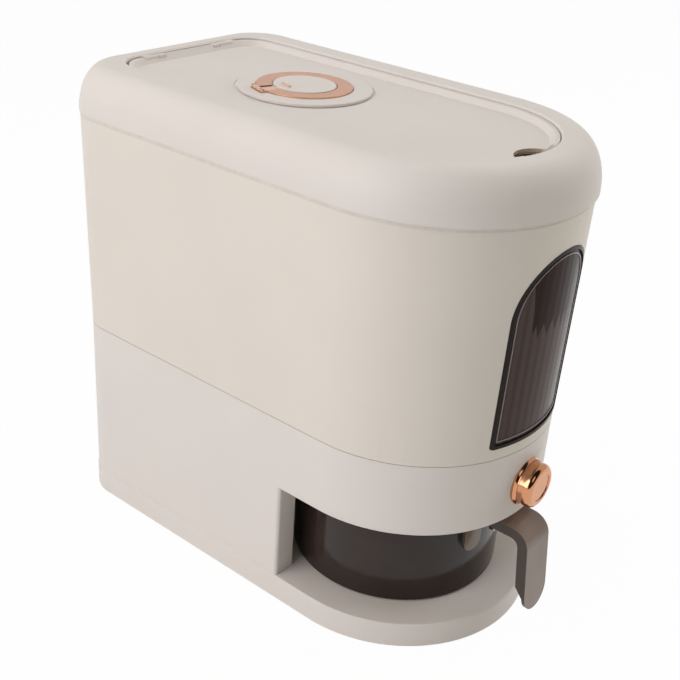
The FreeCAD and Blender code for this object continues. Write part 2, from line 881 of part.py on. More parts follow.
def window_pane():
    """Smoked pane set inside the bezel, with upright flutes on the rice side."""
    body = new_body("pane")
    pane_back = -size.pane_sink - size.pane_thick
    front_patch(body, pane_back, -size.pane_sink)
    trim_to_arch(body, size.bezel_width + size.pane_joint)

    flutes = new_body("flutes")
    groove_back = nose - size.half_width - pane_back + size.flute_depth / 2
    ends = []
    for level in (window_bottom, window_top):
        end = flat_sketch(flutes, level)
        back = groove_back - flare_at(level)
        polygon(end, [(-size.flute_half, back), (as_size(0), back - 3 * size.flute_depth / 2),
                      (size.flute_half, back)])
        ends.append(end)
    middle = loft(flutes, "AdditiveLoft", ends, ruled=True)
    axle = side_sketch(flutes)
    axis_line(axle, (nose, window_bottom), (nose, window_top))
    each_side = int(math.degrees((size.window_half / size.half_width).value) / size.flute_pitch.value)
    for reverse in (False, True):
        row = flutes.newObject("PartDesign::PolarPattern", "flute_row")
        row.Originals = [middle]
        row.Axis = (axle, ["Axis0"])
        row.Reversed = reverse
        row.Occurrences = each_side + 1
        bind(row, "Angle", each_side * size.flute_pitch)
        flutes.Tip = row
    trim_to_arch(flutes, size.bezel_width + size.flute_margin)

    pane = doc.addObject("Part::Cut", "fluted_pane")
    pane.Base = body
    pane.Tool = flutes
    return keep(pane, "window_pane")


def lid_seal():
    """Thin strip between the bin's rim and the lid."""
    body = new_body("strip")
    sketch = flat_sketch(body, bin_top)
    body_outline(sketch, size.bin_flare - size.fitting_gap)
    body_outline(sketch, size.bin_flare - size.shell_wall)
    pad(body, sketch, size.seal_height)
    return keep(body, "lid_seal")


# --- lid ------------------------------------------------------------------------------------------

LID_STEPS = (0, 22, 42, 61, 76, 90)


def lid_section(sketch, degrees, inset):
    """Outline of the lid part-way up its quarter-ellipse roll, moved inwards by the inset."""
    closing = 1 - math.cos(math.radians(degrees))
    half = size.half_width + lid_offset - size.roll_in * closing - inset
    back = lid_back - size.roll_back * closing - inset
    corner = size.back_corner + lid_offset - size.lid_corner * closing - inset
    d_outline(sketch, half, nose - size.lid_nose, back, corner)


def lid_roll(body):
    """The lid's straight foot and the loft of its domed edge."""
    start = lid_level + size.roll_start
    rise = lid_top - start
    foot = flat_sketch(body, lid_level)
    lid_section(foot, 0, as_size(0))
    pad(body, foot, size.roll_start)
    sketches = []
    for degrees in LID_STEPS:
        sketch = flat_sketch(body, start + rise * math.sin(math.radians(degrees)))
        lid_section(sketch, degrees, as_size(0))
        sketches.append(sketch)
    loft(body, "AdditiveLoft", sketches, ruled=True)


def lid_cavity(body, bottom, top):
    """Upright hollow inside the lid whose wall is thinnest at its top."""
    share = ((top - lid_level - size.roll_start) / (lid_top - lid_level - size.roll_start)).value
    hollow = flat_sketch(body, bottom)
    lid_section(hollow, math.degrees(math.asin(share)), size.lid_wall)
    pocket(body, hollow, top - bottom, reverse=True)


def well_outline(sketch, offset):
    """The recess in the lid's top, moved outwards by the offset."""
    d_outline(sketch, well_half + offset, well_nose, well_back + offset, size.well_corner + offset)


def mouth_outline(sketch, offset):
    """The filling opening, moved outwards by the offset."""
    d_outline(sketch, mouth_half + offset, mouth_nose, mouth_back + offset, size.mouth_corner + offset)


def lid_frame():
    """Domed lid ring: recess for the flap, filling opening, finger scoop, hinge posts, locating tabs."""
    body = new_body("lid")
    ledge_under = ledge_level - size.well_wall
    plate_top = lid_top - size.lid_wall / 2
    lid_roll(body)
    lid_cavity(body, lid_level + size.lid_flange, ledge_under)
    lid_cavity(body, ledge_under, lid_top - size.lid_wall)
    hollow = flat_sketch(body, lid_level)
    body_outline(hollow, size.bin_flare - size.shell_wall - size.sliding_gap - size.tab_thick)
    pocket(body, hollow, size.lid_flange, reverse=True)

    plate = flat_sketch(body, ledge_under)
    well_outline(plate, size.well_wall)
    pad(body, plate, plate_top - ledge_under)

    scoop_under = ledge_level - size.scoop_depth - size.scoop_wall
    scoop_side = size.scoop_radius + size.scoop_wall
    boss = flat_sketch(body, scoop_under)
    box_outline(boss, -scoop_side, scoop_side, well_front - size.well_wall, well_front + scoop_side)
    pad(body, boss, size.scoop_depth + size.scoop_wall - size.well_wall / 2)

    well = flat_sketch(body, lid_top + 1)
    well_outline(well, 0)
    pocket(body, well, lid_top + 1 - ledge_level)
    mouth = flat_sketch(body, ledge_level)
    mouth_outline(mouth, 0)
    pocket(body, mouth)
    scoop = flat_sketch(body, ledge_level)
    half_disc(scoop, well_front, size.scoop_radius)
    pocket(body, scoop, size.scoop_depth)

    for start, end in ((size.post_inner, post_end), (-post_end, -size.post_inner)):
        post = side_sketch(body, start)
        box_outline(post, hinge_y - size.knuckle_radius, well_back + size.well_wall / 2,
                    ledge_under + size.well_wall / 2, hinge_z)
        pad(body, post, end - start)
        head = side_sketch(body, start)
        circle(head, hinge_y, hinge_z, size.knuckle_radius)
        pad(body, head, end - start)
    bore = side_sketch(body)
    circle(bore, hinge_y, hinge_z, size.pin_radius)
    pocket(body, bore, 2 * post_end + 1, both_sides=True)

    tabs = flat_sketch(body, lid_level - size.tab_depth)
    locating_tabs(tabs)
    pad(body, tabs, size.tab_depth + size.lid_flange / 2)

    dress(body, "Chamfer", "Size", size.well_chamfer,
          lambda edge: level_edge(edge, lid_top) and outline_distance(
              edge, well_half, well_nose, well_back, size.well_corner) < 1e-3)
    return keep(body, "lid_frame")


def locating_tabs(sketch):
    """Six tabs that hang inside the bin's rim and keep the lid in place."""
    inside = size.bin_flare - size.shell_wall - size.sliding_gap
    outer, half = size.half_width + inside, size.tab_half_width
    back = size.back_reach + inside
    for y in (nose + half, (nose + back) / 2):
        box_outline(sketch, outer - size.tab_thick, outer, y - half, y + half)
        box_outline(sketch, -outer, size.tab_thick - outer, y - half, y + half)
    across = size.half_width / 2
    for x in (-across, across):
        box_outline(sketch, x - half, x + half, back - size.tab_thick, back)


def hinge_pin():
    """Steel pin that the flap turns on, held in the lid's two posts."""
    body = new_body("pin")
    sketch = side_sketch(body)
    circle(sketch, hinge_y, hinge_z, size.pin_radius)
    pad(body, sketch, 2 * (barrel_end - size.pin_short), both_sides=True)
    return keep(body, "hinge_pin")


# --- flap -----------------------------------------------------------------------------------------

def flap_outline(sketch, inset):
    d_outline(sketch, flap_half - inset, well_nose, flap_back - inset, size.flap_corner - inset)


def dial_circle(sketch, radius):
    circle(sketch, 0, size.dial_centre, radius)


def lid_flap():
    """Dished filling flap with guide ribs that drop into the mouth, a hole for the dial, hinge barrels."""
    body = new_body("flap_body")
    block = flat_sketch(body, flap_under)
    flap_outline(block, 0)
    pad(body, block, lip_level - flap_under)

    slope_foot = flat_sketch(body, flap_floor)
    flap_outline(slope_foot, size.lip_flat + size.lip_slope)
    slope_head = flat_sketch(body, lip_level)
    flap_outline(slope_head, size.lip_flat)
    loft(body, "SubtractiveLoft", [slope_foot, slope_head], ruled=True)

    ribs = flat_sketch(body, flap_under - size.guide_rib_drop)
    side = mouth_half - size.guide_rib_gap
    rear = mouth_back - size.guide_rib_gap
    straight_back = mouth_back - size.mouth_corner
    box_outline(ribs, side - size.guide_rib, side, mouth_nose, straight_back)
    box_outline(ribs, -side, size.guide_rib - side, mouth_nose, straight_back)
    reach = mouth_half - size.mouth_corner
    box_outline(ribs, -reach, reach, rear - size.guide_rib, rear)
    pad(body, ribs, size.guide_rib_drop + size.flap_thick / 2)

    hole = flat_sketch(body, lip_level)
    dial_circle(hole, size.hole_radius)
    pocket(body, hole)
    notch = flat_sketch(body, lip_level)
    circle(notch, 0, well_front, size.scoop_radius)
    pocket(body, notch)

    gap_start, gap_end = size.post_inner - size.sliding_gap, post_end + size.sliding_gap
    for start, end in ((gap_end, barrel_end), (-barrel_end, -gap_end)):
        barrel = side_sketch(body, start)
        circle(barrel, hinge_y, hinge_z, size.knuckle_radius)
        pad(body, barrel, end - start)
    bore = side_sketch(body)
    circle(bore, hinge_y, hinge_z, size.pin_radius + size.running_gap)
    pocket(body, bore, 2 * barrel_end, both_sides=True)
    gaps = flat_sketch(body, lip_level + size.knuckle_radius)
    front = hinge_y - size.knuckle_radius - size.sliding_gap
    for start, end in ((gap_start, gap_end), (-gap_end, -gap_start)):
        box_outline(gaps, start, end, front, well_back)
    pocket(body, gaps)
    return keep(body, "flap")


# --- desiccant unit: drawn about its own centre with the ring's hinge on +X, then turned into place ---

def keep_dial_part(thing, label):
    return keep(thing, label, centre=size.dial_centre, turn=size.ring_turn)


def desiccant_cap():
    """Round dial with a sunk face for the lift ring and its saddle."""
    body = new_body("dial")
    disc = flat_sketch(body, flap_floor)
    circle(disc, 0, 0, size.dial_radius)
    pad(body, disc, size.dial_thick)

    face = flat_sketch(body, dial_top)
    circle(face, 0, 0, size.ring_outer + size.sliding_gap)
    pocket(body, face, size.ring_recess)
    ears = flat_sketch(body, dial_top)
    end = size.curl_radius + size.sliding_gap
    side = size.saddle_half + size.ear_width + size.sliding_gap
    box_outline(ears, size.ring_inner, size.ring_hinge + end, -side, side)
    pocket(body, ears, size.ring_recess)
    return keep_dial_part(body, "desiccant_cap")


def desiccant_basket():
    """Square slotted cage under the dial that holds a moisture absorber; its corners fit the flap's hole."""
    body = new_body("basket")
    bottom = flap_floor - size.basket_drop
    half = size.hole_radius / root(as_size(2)) - size.basket_play
    outside = flat_sketch(body, bottom)
    box_outline(outside, -half, half, -half, half)
    pad(body, outside, size.basket_drop)
    room = half - size.basket_wall
    inside = flat_sketch(body, bottom + size.basket_wall)
    box_outline(inside, -room, room, -room, room)
    pocket(body, inside, size.basket_drop, reverse=True)
    slots = flat_sketch(body, bottom + size.basket_wall)
    reach = room - 2 * size.basket_wall
    each_side = int((reach / size.basket_pitch).value)
    for step in range(-each_side, each_side + 1):
        across = size.basket_pitch * step
        box_outline(slots, across - size.basket_slot / 2, across + size.basket_slot / 2, -reach, reach)
    pocket(body, slots, size.basket_wall)
    return keep(body, "desiccant_basket", centre=size.dial_centre)


def ring_saddle():
    """Strap across the dial with a curl at each end; the outer curl holds the ring's axle."""
    body = new_body("saddle")
    half = size.saddle_half - size.sliding_gap
    strap = flat_sketch(body, ring_floor)
    box_outline(strap, size.saddle_inner, size.ring_hinge, -half, half)
    pad(body, strap, size.saddle_thick)
    for across in (size.saddle_inner, size.ring_hinge):
        curl = front_sketch(body)
        circle(curl, across, ring_axis, size.curl_radius)
        pad(body, curl, 2 * half, both_sides=True)
    bore = front_sketch(body)
    circle(bore, size.ring_hinge, ring_axis, size.ring_pin_radius + size.running_gap)
    pocket(body, bore, 4 * half, both_sides=True)
    return keep_dial_part(body, "ring_saddle")


def lift_ring():
    """Flat C-shaped ring whose two eared ends carry the axle that turns in the saddle's curl."""
    body = new_body("ring")
    band = flat_sketch(body, ring_floor)
    circle(band, 0, 0, size.ring_outer)
    circle(band, 0, 0, size.ring_inner)
    pad(body, band, size.ring_thick)
    ears_end = size.saddle_half + size.ear_width
    for start, end in ((size.saddle_half, ears_end), (-ears_end, -size.saddle_half)):
        ear = front_sketch(body, end)
        box_outline(ear, size.ring_outer - 4 * size.ring_thick, size.ring_hinge, ring_floor, ring_axis)
        pad(body, ear, end - start)
        knuckle = front_sketch(body, end)
        circle(knuckle, size.ring_hinge, ring_axis, size.curl_radius)
        pad(body, knuckle, end - start)
    opening = flat_sketch(body, ring_axis + size.curl_radius)
    box_outline(opening, 0, size.ring_hinge + 2 * size.curl_radius, -size.saddle_half, size.saddle_half)
    pocket(body, opening)
    axle = front_sketch(body)
    circle(axle, size.ring_hinge, ring_axis, size.ring_pin_radius)
    pad(body, axle, 2 * size.saddle_half + size.ear_width, both_sides=True)
    return keep_dial_part(body, "lift_ring")


# --- button and gate ------------------------------------------------------------------------------

def button_profile(sketch, corners):
    """Closed profile beside the button's axis: each corner is (y, distance from the axis)."""
    axis_line(sketch, (button_front, button_level), (as_size(0), button_level))
    polygon(sketch, [(y, button_level + radius) for y, radius in corners])


def button_cap():
    """Push button: a hollow cap with a bevelled edge and a sunk face."""
    body = new_body("cap")
    inner = size.button_radius - size.button_wall
    bevel = size.button_radius - size.button_edge
    dish = bevel - size.dish_rim
    sketch = side_sketch(body)
    button_profile(sketch, [
        (button_front + size.dish_depth, as_size(0)), (button_front + size.dish_depth, dish),
        (button_front, dish), (button_front, bevel), (button_front + size.button_edge, size.button_radius),
        (button_rear, size.button_radius), (button_rear, inner),
        (cap_face, inner), (cap_face, as_size(0))])
    revolve(body, sketch)
    return keep(body, "button_cap")


def button_collar():
    """Bright sleeve pressed into the band's hole."""
    body = new_body("collar")
    front, rear = band_front - size.collar_proud, band_front + size.collar_depth
    sketch = side_sketch(body)
    button_profile(sketch, [
        (front, collar_bore), (front, collar_radius), (rear, collar_radius), (rear, collar_bore)])
    revolve(body, sketch)
    return keep(body, "button_collar")


def button_stem():
    """Cross-shaped rod from the button through the guide to the gate's tab, with a stop behind the guide."""
    body = new_body("stem")
    length = tab_front - cap_face
    reach, half_rib = size.stem_half, size.stem_rib / 2
    upright = front_sketch(body, tab_front)
    box_outline(upright, -half_rib, half_rib, button_level - reach, button_level + reach)
    pad(body, upright, length)
    level = front_sketch(body, tab_front)
    box_outline(level, -reach, reach, button_level - half_rib, button_level + half_rib)
    pad(body, level, length)
    stop = front_sketch(body, guide_rear + size.stop_thick)
    wide = size.stop_half
    box_outline(stop, -wide, wide, button_level - wide, button_level + wide)
    pad(body, stop, size.stop_thick)
    spigot = front_sketch(body, tab_front + size.gate_thick)
    tip = size.spigot_half
    box_outline(spigot, -tip, tip, button_level - tip, button_level + tip)
    pad(body, spigot, size.gate_thick + size.stop_thick)
    return keep(body, "button_stem")


def coil_corners(turn, place):
    """Corners of the spring's square wire this many turns from its front end, at y = place."""
    angle = 2 * math.pi * turn
    out = Vector(math.sin(angle), 0, math.cos(angle))
    along = Vector(0, 1, 0)
    half = size.spring_wire.value / 2
    middle = Vector(0, place, button_level.value) + out * size.spring_radius.value
    return [middle + out * a * half + along * b * half for a, b in ((1, 1), (1, -1), (-1, -1), (-1, 1))]


def flat_face(*corners):
    return Part.Face(Part.makePolygon(list(corners) + [corners[0]]))


def button_spring():
    """Return spring round the stem, between the button's face and the guide, in short straight runs."""
    runs_per_turn = 12
    half = size.spring_wire.value / 2
    start = cap_face.value + half
    pitch = (guide_front.value - half - start) / size.spring_turns.value
    rings = []
    for step in range(round(runs_per_turn * size.spring_turns.value) + 1):
        turn = step / runs_per_turn
        rings.append(coil_corners(turn, start + pitch * turn))
    faces = [flat_face(*rings[0]), flat_face(*rings[-1])]
    for ring, following in zip(rings, rings[1:]):
        for a, b in ((0, 1), (1, 2), (2, 3), (3, 0)):
            faces.append(flat_face(ring[a], ring[b], following[b]))
            faces.append(flat_face(ring[a], following[b], following[a]))
    shell = Part.makeShell(faces)
    shell.sewShape()
    wire = Part.makeSolid(shell)
    if wire.Volume < 0:
        wire.reverse()
    coil = doc.addObject("Part::Feature", "coil")
    coil.Shape = wire
    return keep(coil, "button_spring")


def gate_plate():
    """Slotted plate under the funnel; pushing it back lines its slot up with the throat."""
    body = new_body("gate")
    slot_front = throat_front - size.button_travel
    slot_back = throat_back - size.button_travel
    plate = flat_sketch(body, gate_bottom)
    box_outline(plate, -size.gate_half, size.gate_half,
                slot_front - size.gate_margin, throat_back + size.gate_margin)
    pad(body, plate, size.gate_thick)
    tongue = flat_sketch(body, gate_bottom)
    box_outline(tongue, -size.tab_half, size.tab_half, tab_front, slot_front - size.gate_margin / 2)
    pad(body, tongue, size.gate_thick)
    tab = front_sketch(body, tab_front + size.gate_thick)
    box_outline(tab, -size.tab_half, size.tab_half,
                button_level - size.tab_rise, button_level + size.tab_rise)
    pad(body, tab, size.gate_thick)
    slot = flat_sketch(body, gate_top)
    box_outline(slot, -size.throat_half, size.throat_half, slot_front, slot_back)
    pocket(body, slot, size.gate_thick)
    hole = front_sketch(body, tab_front - size.gate_thick)
    snug = size.spigot_half
    box_outline(hole, -snug, snug, button_level - snug, button_level + snug)
    pocket(body, hole, 3 * size.gate_thick)
    return keep(body, "gate_plate")


def outlet_frame():
    """Table that the gate slides on, with lipped rails, four legs and the spout through the roof."""
    body = new_body("frame")
    side = size.gate_half + size.rail_width
    front, back = table_front, table_back
    table_under = gate_bottom - size.table_thick
    table = flat_sketch(body, table_under)
    box_outline(table, -side, side, front, back)
    pad(body, table, size.table_thick)

    rail_top = gate_top + size.fitting_gap + size.rail_lip_thick
    inner = size.gate_half + size.fitting_gap
    rails = flat_sketch(body, gate_bottom)
    box_outline(rails, inner, side, front, back)
    box_outline(rails, -side, -inner, front, back)
    pad(body, rails, rail_top - gate_bottom)
    lip = size.gate_half - size.rail_lip
    lips = flat_sketch(body, gate_top + size.fitting_gap)
    box_outline(lips, lip, side, front, back)
    box_outline(lips, -side, -lip, front, back)
    pad(body, lips, size.rail_lip_thick)

    legs = flat_sketch(body, roof_top)
    squares(legs, frame_leg_places(), size.leg_half)
    pad(body, legs, table_under - roof_top + size.table_thick / 2)
    pegs = flat_sketch(body, band_bottom)
    squares(pegs, frame_leg_places(), size.peg_half)
    pad(body, pegs, size.roof_thick)

    spout = flat_sketch(body, spout_level)
    across = size.throat_half + size.spout_wall
    box_outline(spout, -across, across, throat_front - size.spout_wall, throat_back + size.spout_wall)
    pad(body, spout, gate_bottom - spout_level)
    throat = flat_sketch(body, gate_bottom)
    box_outline(throat, -size.throat_half, size.throat_half, throat_front, throat_back)
    pocket(body, throat)
    return keep(body, "outlet_frame")


# --- funnel ---------------------------------------------------------------------------------------

def funnel_wedge(name, level):
    """Upside-down pyramid that opens from the throat's outline at the given level."""
    wedge = doc.addObject("Part::Wedge", name)
    rise = size.funnel_rise
    side = size.throat_half + rise * size.funnel_side_slope
    bind(wedge, "Xmin", -size.throat_half)
    bind(wedge, "Xmax", size.throat_half)
    bind(wedge, "X2min", -side)
    bind(wedge, "X2max", side)
    bind(wedge, "Ymin", as_size(0))
    bind(wedge, "Ymax", rise)
    bind(wedge, "Zmin", -throat_back)
    bind(wedge, "Zmax", -throat_front)
    bind(wedge, "Z2min", -throat_back - rise * size.funnel_back_slope)
    bind(wedge, "Z2max", -throat_front + rise * size.funnel_front_slope)
    wedge.Placement = Placement(Vector(0, 0, as_size(level).value), Rotation(Vector(1, 0, 0), 90))
    bind(wedge, "Placement.Base.z", level)
    return wedge


def hopper():
    """Funnel floor of the bin on four legs, ending in a slot-shaped neck just above the gate."""
    room = new_body("funnel_room")
    neck_level = gate_top + size.sliding_gap
    offset = -size.shell_wall - size.sliding_gap
    low = flat_sketch(room, neck_level)
    body_outline(low, offset)
    pad(room, low, seam_level - neck_level)
    levels = [seam_level, throat_level + size.funnel_rise - 1]
    loft(room, "AdditiveLoft", flared_sections(room, levels, offset), ruled=True)

    outer = funnel_wedge("funnel_outside", throat_level - size.funnel_drop)
    shell = doc.addObject("Part::MultiCommon", "funnel_shell")
    shell.Shapes = [outer, room]

    legs = new_body("funnel_legs")
    feet = flat_sketch(legs, roof_top)
    squares(feet, hopper_leg_places(), size.leg_half)
    pad(legs, feet, throat_level + size.funnel_rise / 2 - roof_top)
    pegs = flat_sketch(legs, band_bottom)
    squares(pegs, hopper_leg_places(), size.peg_half)
    pad(legs, pegs, size.roof_thick)
    whole = doc.addObject("Part::MultiFuse", "funnel_with_legs")
    whole.Shapes = [shell, legs]

    throat = new_body("funnel_throat")
    slot = flat_sketch(throat, neck_level - 1)
    box_outline(slot, -size.throat_half, size.throat_half, throat_front, throat_back)
    pad(throat, slot, throat_level + 1 - neck_level + 1)
    hollow = doc.addObject("Part::MultiFuse", "funnel_hollow")
    hollow.Shapes = [funnel_wedge("funnel_inside", throat_level), throat]
    funnel = doc.addObject("Part::Cut", "funnel")
    funnel.Base = whole
    funnel.Tool = hollow
    return keep(funnel, "hopper")


# --- measuring cup --------------------------------------------------------------------------------

def measuring_cup():
    """Round cup that stands in the bay under the spout."""
    body = new_body("cup")
    sketch = side_sketch(body)
    inner = cup_radius - size.cup_wall
    floor = base_top + size.cup_floor
    axis_line(sketch, (cup_y, base_top), (cup_y, cup_rim))
    points = [(as_size(0), floor), (inner, floor), (inner, cup_rim), (cup_radius, cup_rim),
              (cup_radius, base_top), (as_size(0), base_top)]
    polygon(sketch, [(cup_y + radius, z) for radius, z in points])
    revolve(body, sketch)

    def foot_rim(edge):
        return level_edge(edge, base_top) and edge.BoundBox.XLength > 2 * cup_radius.value - 0.1

    dress(body, "Chamfer", "Size", size.cup_edge, foot_rim)
    return keep(body, "measuring_cup")


def tongue_outline(sketch, x, half, bottom, top):
    """Upright strip with a half-round lower end."""
    x, half, bottom, top = (as_size(item) for item in (x, half, bottom, top))
    turn = bottom + half
    head = line(sketch, (x + half, top), (x - half, top))
    left = line(sketch, (x - half, top), (x - half, turn))
    tip = arc(sketch, (x, turn), half, 180, 360)
    right = line(sketch, (x + half, turn), (x + half, top))
    constrain(sketch, "Coincident", head, 2, left, 1)
    constrain(sketch, "Tangent", left, 2, tip, 1)
    constrain(sketch, "Tangent", tip, 2, right, 1)
    constrain(sketch, "Coincident", right, 2, head, 1)
    constrain(sketch, "Vertical", left)
    constrain(sketch, "Vertical", right)
    pin_point(sketch, tip, 3, x, turn)
    set_size(sketch, "Radius", tip, half)
    for point in (1, 2):
        set_size(sketch, "DistanceY", -1, 1, head, point, top)


def cup_handle():
    """Channel-shaped grip that bends down in front of the cup, with two ears on the cup's wall."""
    body = new_body("grip")
    root_y = cup_y - cup_radius + size.ear_radius
    bend_y = grip_front + size.grip_lean
    slope = size.grip_lean / (grip_top - grip_bottom)
    depth, wall = size.grip_depth, size.grip_wall
    fade = grip_bottom + size.grip_fade
    fade_top = fade + depth

    def face_y(level, inset):
        """The outer face leans forward as it goes down; an inset moves in from it."""
        return bend_y - slope * (grip_top - level) + inset

    sides = side_sketch(body)
    polygon(sides, [
        (root_y, grip_top), (bend_y, grip_top), (face_y(grip_bottom, 0), grip_bottom),
        (face_y(grip_bottom, wall), grip_bottom), (face_y(fade, wall), fade),
        (face_y(fade_top, depth), fade_top), (face_y(grip_top - depth, depth), grip_top - depth),
        (root_y, grip_top - depth)])
    pad(body, sides, 2 * size.grip_half, both_sides=True)

    channel = side_sketch(body)
    under = grip_top - wall
    clear = root_y + depth
    low = grip_bottom - wall
    polygon(channel, [(clear, under), (face_y(under, wall), under), (face_y(low, wall), low), (clear, low)])
    pocket(body, channel, 2 * (size.grip_half - wall), both_sides=True)

    tip = front_sketch(body, grip_front - size.grip_half)
    reach = 2 * size.grip_half
    box_outline(tip, -reach, reach, grip_bottom - reach, grip_top + reach)
    tongue_outline(tip, 0, size.grip_half, grip_bottom, grip_top + size.grip_half)
    pocket(body, tip, 2 * size.grip_half)

    def bend_edge(y, z):
        """Edges along X through a corner of the side profile."""
        def pick(edge):
            box = edge.BoundBox
            there = abs(box.YMin - y.value) < 1e-3 and abs(box.ZMin - z.value) < 1e-3
            return there and box.YLength < 1e-3 and box.ZLength < 1e-3 and box.XLength > 1
        return pick

    dress(body, "Fillet", "Radius", size.grip_bend, bend_edge(bend_y, grip_top))
    dress(body, "Fillet", "Radius", size.grip_bend - wall, bend_edge(face_y(under, wall), under))
    inner_z = grip_top - depth
    dress(body, "Fillet", "Radius", size.grip_bend - depth, bend_edge(face_y(inner_z, depth), inner_z))

    wall_cut = flat_sketch(body, grip_top + wall)
    circle(wall_cut, 0, cup_y, cup_radius)
    pocket(body, wall_cut)

    ears = new_body("ears")
    ear_bottom = grip_top - size.ear_length
    profile = side_sketch(ears)
    axis_line(profile, (cup_y, ear_bottom), (cup_y, grip_top))
    inside = cup_y - cup_radius
    box_outline(profile, inside - size.ear_thick, inside, ear_bottom - wall, grip_top)
    revolve(ears, profile, angle=60.0, centred=True)
    trim = front_sketch(ears)
    box_outline(trim, -3 * reach, 3 * reach, grip_bottom, grip_top + reach)
    for side in (1, -1):
        tongue_outline(trim, side * size.ear_side, size.ear_radius, ear_bottom,
                       grip_top + wall)
    pocket(ears, trim, reverse=True)

    handle = doc.addObject("Part::MultiFuse", "grip_with_ears")
    handle.Shapes = [body, ears]
    return keep(handle, "cup_handle")


# --- the whole dispenser --------------------------------------------------------------------------

def build():
    base_plate()
    foot_pads()
    lower_housing()
    upper_housing()
    window_bezel()
    window_pane()
    lid_seal()
    lid_frame()
    hinge_pin()
    lid_flap()
    desiccant_cap()
    desiccant_basket()
    ring_saddle()
    lift_ring()
    button_cap()
    button_collar()
    button_stem()
    button_spring()
    gate_plate()
    outlet_frame()
    hopper()
    measuring_cup()
    cup_handle()


def check_document():
    """Stops the build when a feature failed or a shape is not sound."""
    for thing in doc.Objects:
        if "Invalid" in thing.State or "Error" in thing.State:
            raise RuntimeError(f"{thing.Name} ({thing.Label}) failed: {thing.State}")
    for thing in kept_parts:
        if thing.Shape.isNull() or not thing.Shape.isValid():
            raise RuntimeError(f"{thing.Label} is not a sound shape")


build()
doc.recompute()
check_document()
os.makedirs("parts", exist_ok=True)
for part in kept_parts:
    part.Shape.exportStep(f"parts/{part.Label}.step")
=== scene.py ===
"""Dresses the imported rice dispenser: mouldings, smoked window, plated trim, finishes, light and camera."""

import json
import logging
import math
from collections.abc import Callable
from dataclasses import dataclass
from enum import Enum

import bmesh
import bpy
from mathutils import Matrix, Vector

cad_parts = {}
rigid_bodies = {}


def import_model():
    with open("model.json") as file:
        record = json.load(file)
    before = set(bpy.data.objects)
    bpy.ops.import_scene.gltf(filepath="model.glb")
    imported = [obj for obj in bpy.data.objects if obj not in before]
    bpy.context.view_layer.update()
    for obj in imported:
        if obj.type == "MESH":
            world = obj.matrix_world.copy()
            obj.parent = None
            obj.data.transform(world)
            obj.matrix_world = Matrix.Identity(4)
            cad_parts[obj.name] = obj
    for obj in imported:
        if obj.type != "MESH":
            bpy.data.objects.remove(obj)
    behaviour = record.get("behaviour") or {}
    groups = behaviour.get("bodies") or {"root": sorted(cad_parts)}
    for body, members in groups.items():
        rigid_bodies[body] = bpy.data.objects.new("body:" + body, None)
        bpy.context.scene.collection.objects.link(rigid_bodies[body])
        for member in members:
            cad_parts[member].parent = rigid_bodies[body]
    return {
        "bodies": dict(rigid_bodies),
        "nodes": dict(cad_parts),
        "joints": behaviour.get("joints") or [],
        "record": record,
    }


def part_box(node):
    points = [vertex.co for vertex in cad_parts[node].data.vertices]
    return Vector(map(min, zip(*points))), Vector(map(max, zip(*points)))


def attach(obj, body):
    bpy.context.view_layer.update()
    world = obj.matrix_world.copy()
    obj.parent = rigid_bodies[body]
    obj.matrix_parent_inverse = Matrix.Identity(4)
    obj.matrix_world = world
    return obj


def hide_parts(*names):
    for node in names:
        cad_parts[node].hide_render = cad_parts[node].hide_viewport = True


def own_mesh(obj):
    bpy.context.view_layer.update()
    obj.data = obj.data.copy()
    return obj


LOG = logging.getLogger("rice_dispenser")

Color = tuple[float, float, float]
Point = tuple[float, float, float]
Profile = list[tuple[float, float]]
Socket = bpy.types.NodeSocket
Choice = Callable[[Vector, Vector], bool]
Value = Socket | float | tuple | Vector | bpy.types.Material

OPAQUE = (1.0,)
WHITE = (1.0, 1.0, 1.0, 1.0)


class Body(Enum):
    """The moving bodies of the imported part."""

    HOUSING = "housing"
    FLAP = "flap"
    DESICCANT = "desiccant_unit"
    RING = "ring"
    BUTTON = "button"
    CUP = "cup"


# --- node trees -----------------------------------------------------------------------------------


class Nodes:
    """Short calls that add nodes to a node tree."""

    def __init__(self, tree: bpy.types.NodeTree) -> None:
        """Keeps the tree.

        Args:
            tree: the tree that the nodes go into.
        """
        self.tree = tree

    def feed(self, entry: Socket, value: Value) -> None:
        """Links a socket to an input, or sets the input's value.

        Args:
            entry: the input.
            value: a socket or a plain value.
        """
        if isinstance(value, Socket):
            self.tree.links.new(value, entry)
        else:
            entry.default_value = value

    def add(self, kind: str, settings: dict[str, str] | None = None, **entries: Value) -> bpy.types.Node:
        """Adds a node.

        Args:
            kind: its type.
            settings: its options, which are set before its inputs.
            **entries: sockets or values of its inputs; underscores in the names stand for spaces.

        Returns:
            The node.
        """
        node = self.tree.nodes.new(kind)
        for name, value in (settings or {}).items():
            setattr(node, name, value)
        for name, value in entries.items():
            self.feed(node.inputs[name.replace("_", " ")], value)
        return node

    def out(self, kind: str, **entries: Value) -> Socket:
        """Adds a node and gives its first output.

        Args:
            kind: its type.
            **entries: sockets or values of its inputs, named as in add.

        Returns:
            The output's socket.
        """
        return self.add(kind, **entries).outputs[0]

    def math(self, operation: str, first: Value, second: Value = 0.0) -> Socket:
        """Adds a Math node.

        Args:
            operation: Blender's name of the operation.
            first: a socket or number.
            second: a socket or number.

        Returns:
            The result's socket.
        """
        node = self.add("ShaderNodeMath", {"operation": operation})
        self.feed(node.inputs[0], first)
        self.feed(node.inputs[1], second)
        return node.outputs[0]

    def blend(self, share: Value, first: Value, second: Value) -> Socket:
        """Mixes two colours.

        Args:
            share: the second colour's share.
            first: a socket, or a colour with its alpha.
            second: a socket, or a colour with its alpha.

        Returns:
            The mixed colour's socket.
        """
        mix = self.add("ShaderNodeMix", {"data_type": "RGBA"}, Factor=share, A=first, B=second)
        return mix.outputs["Result"]


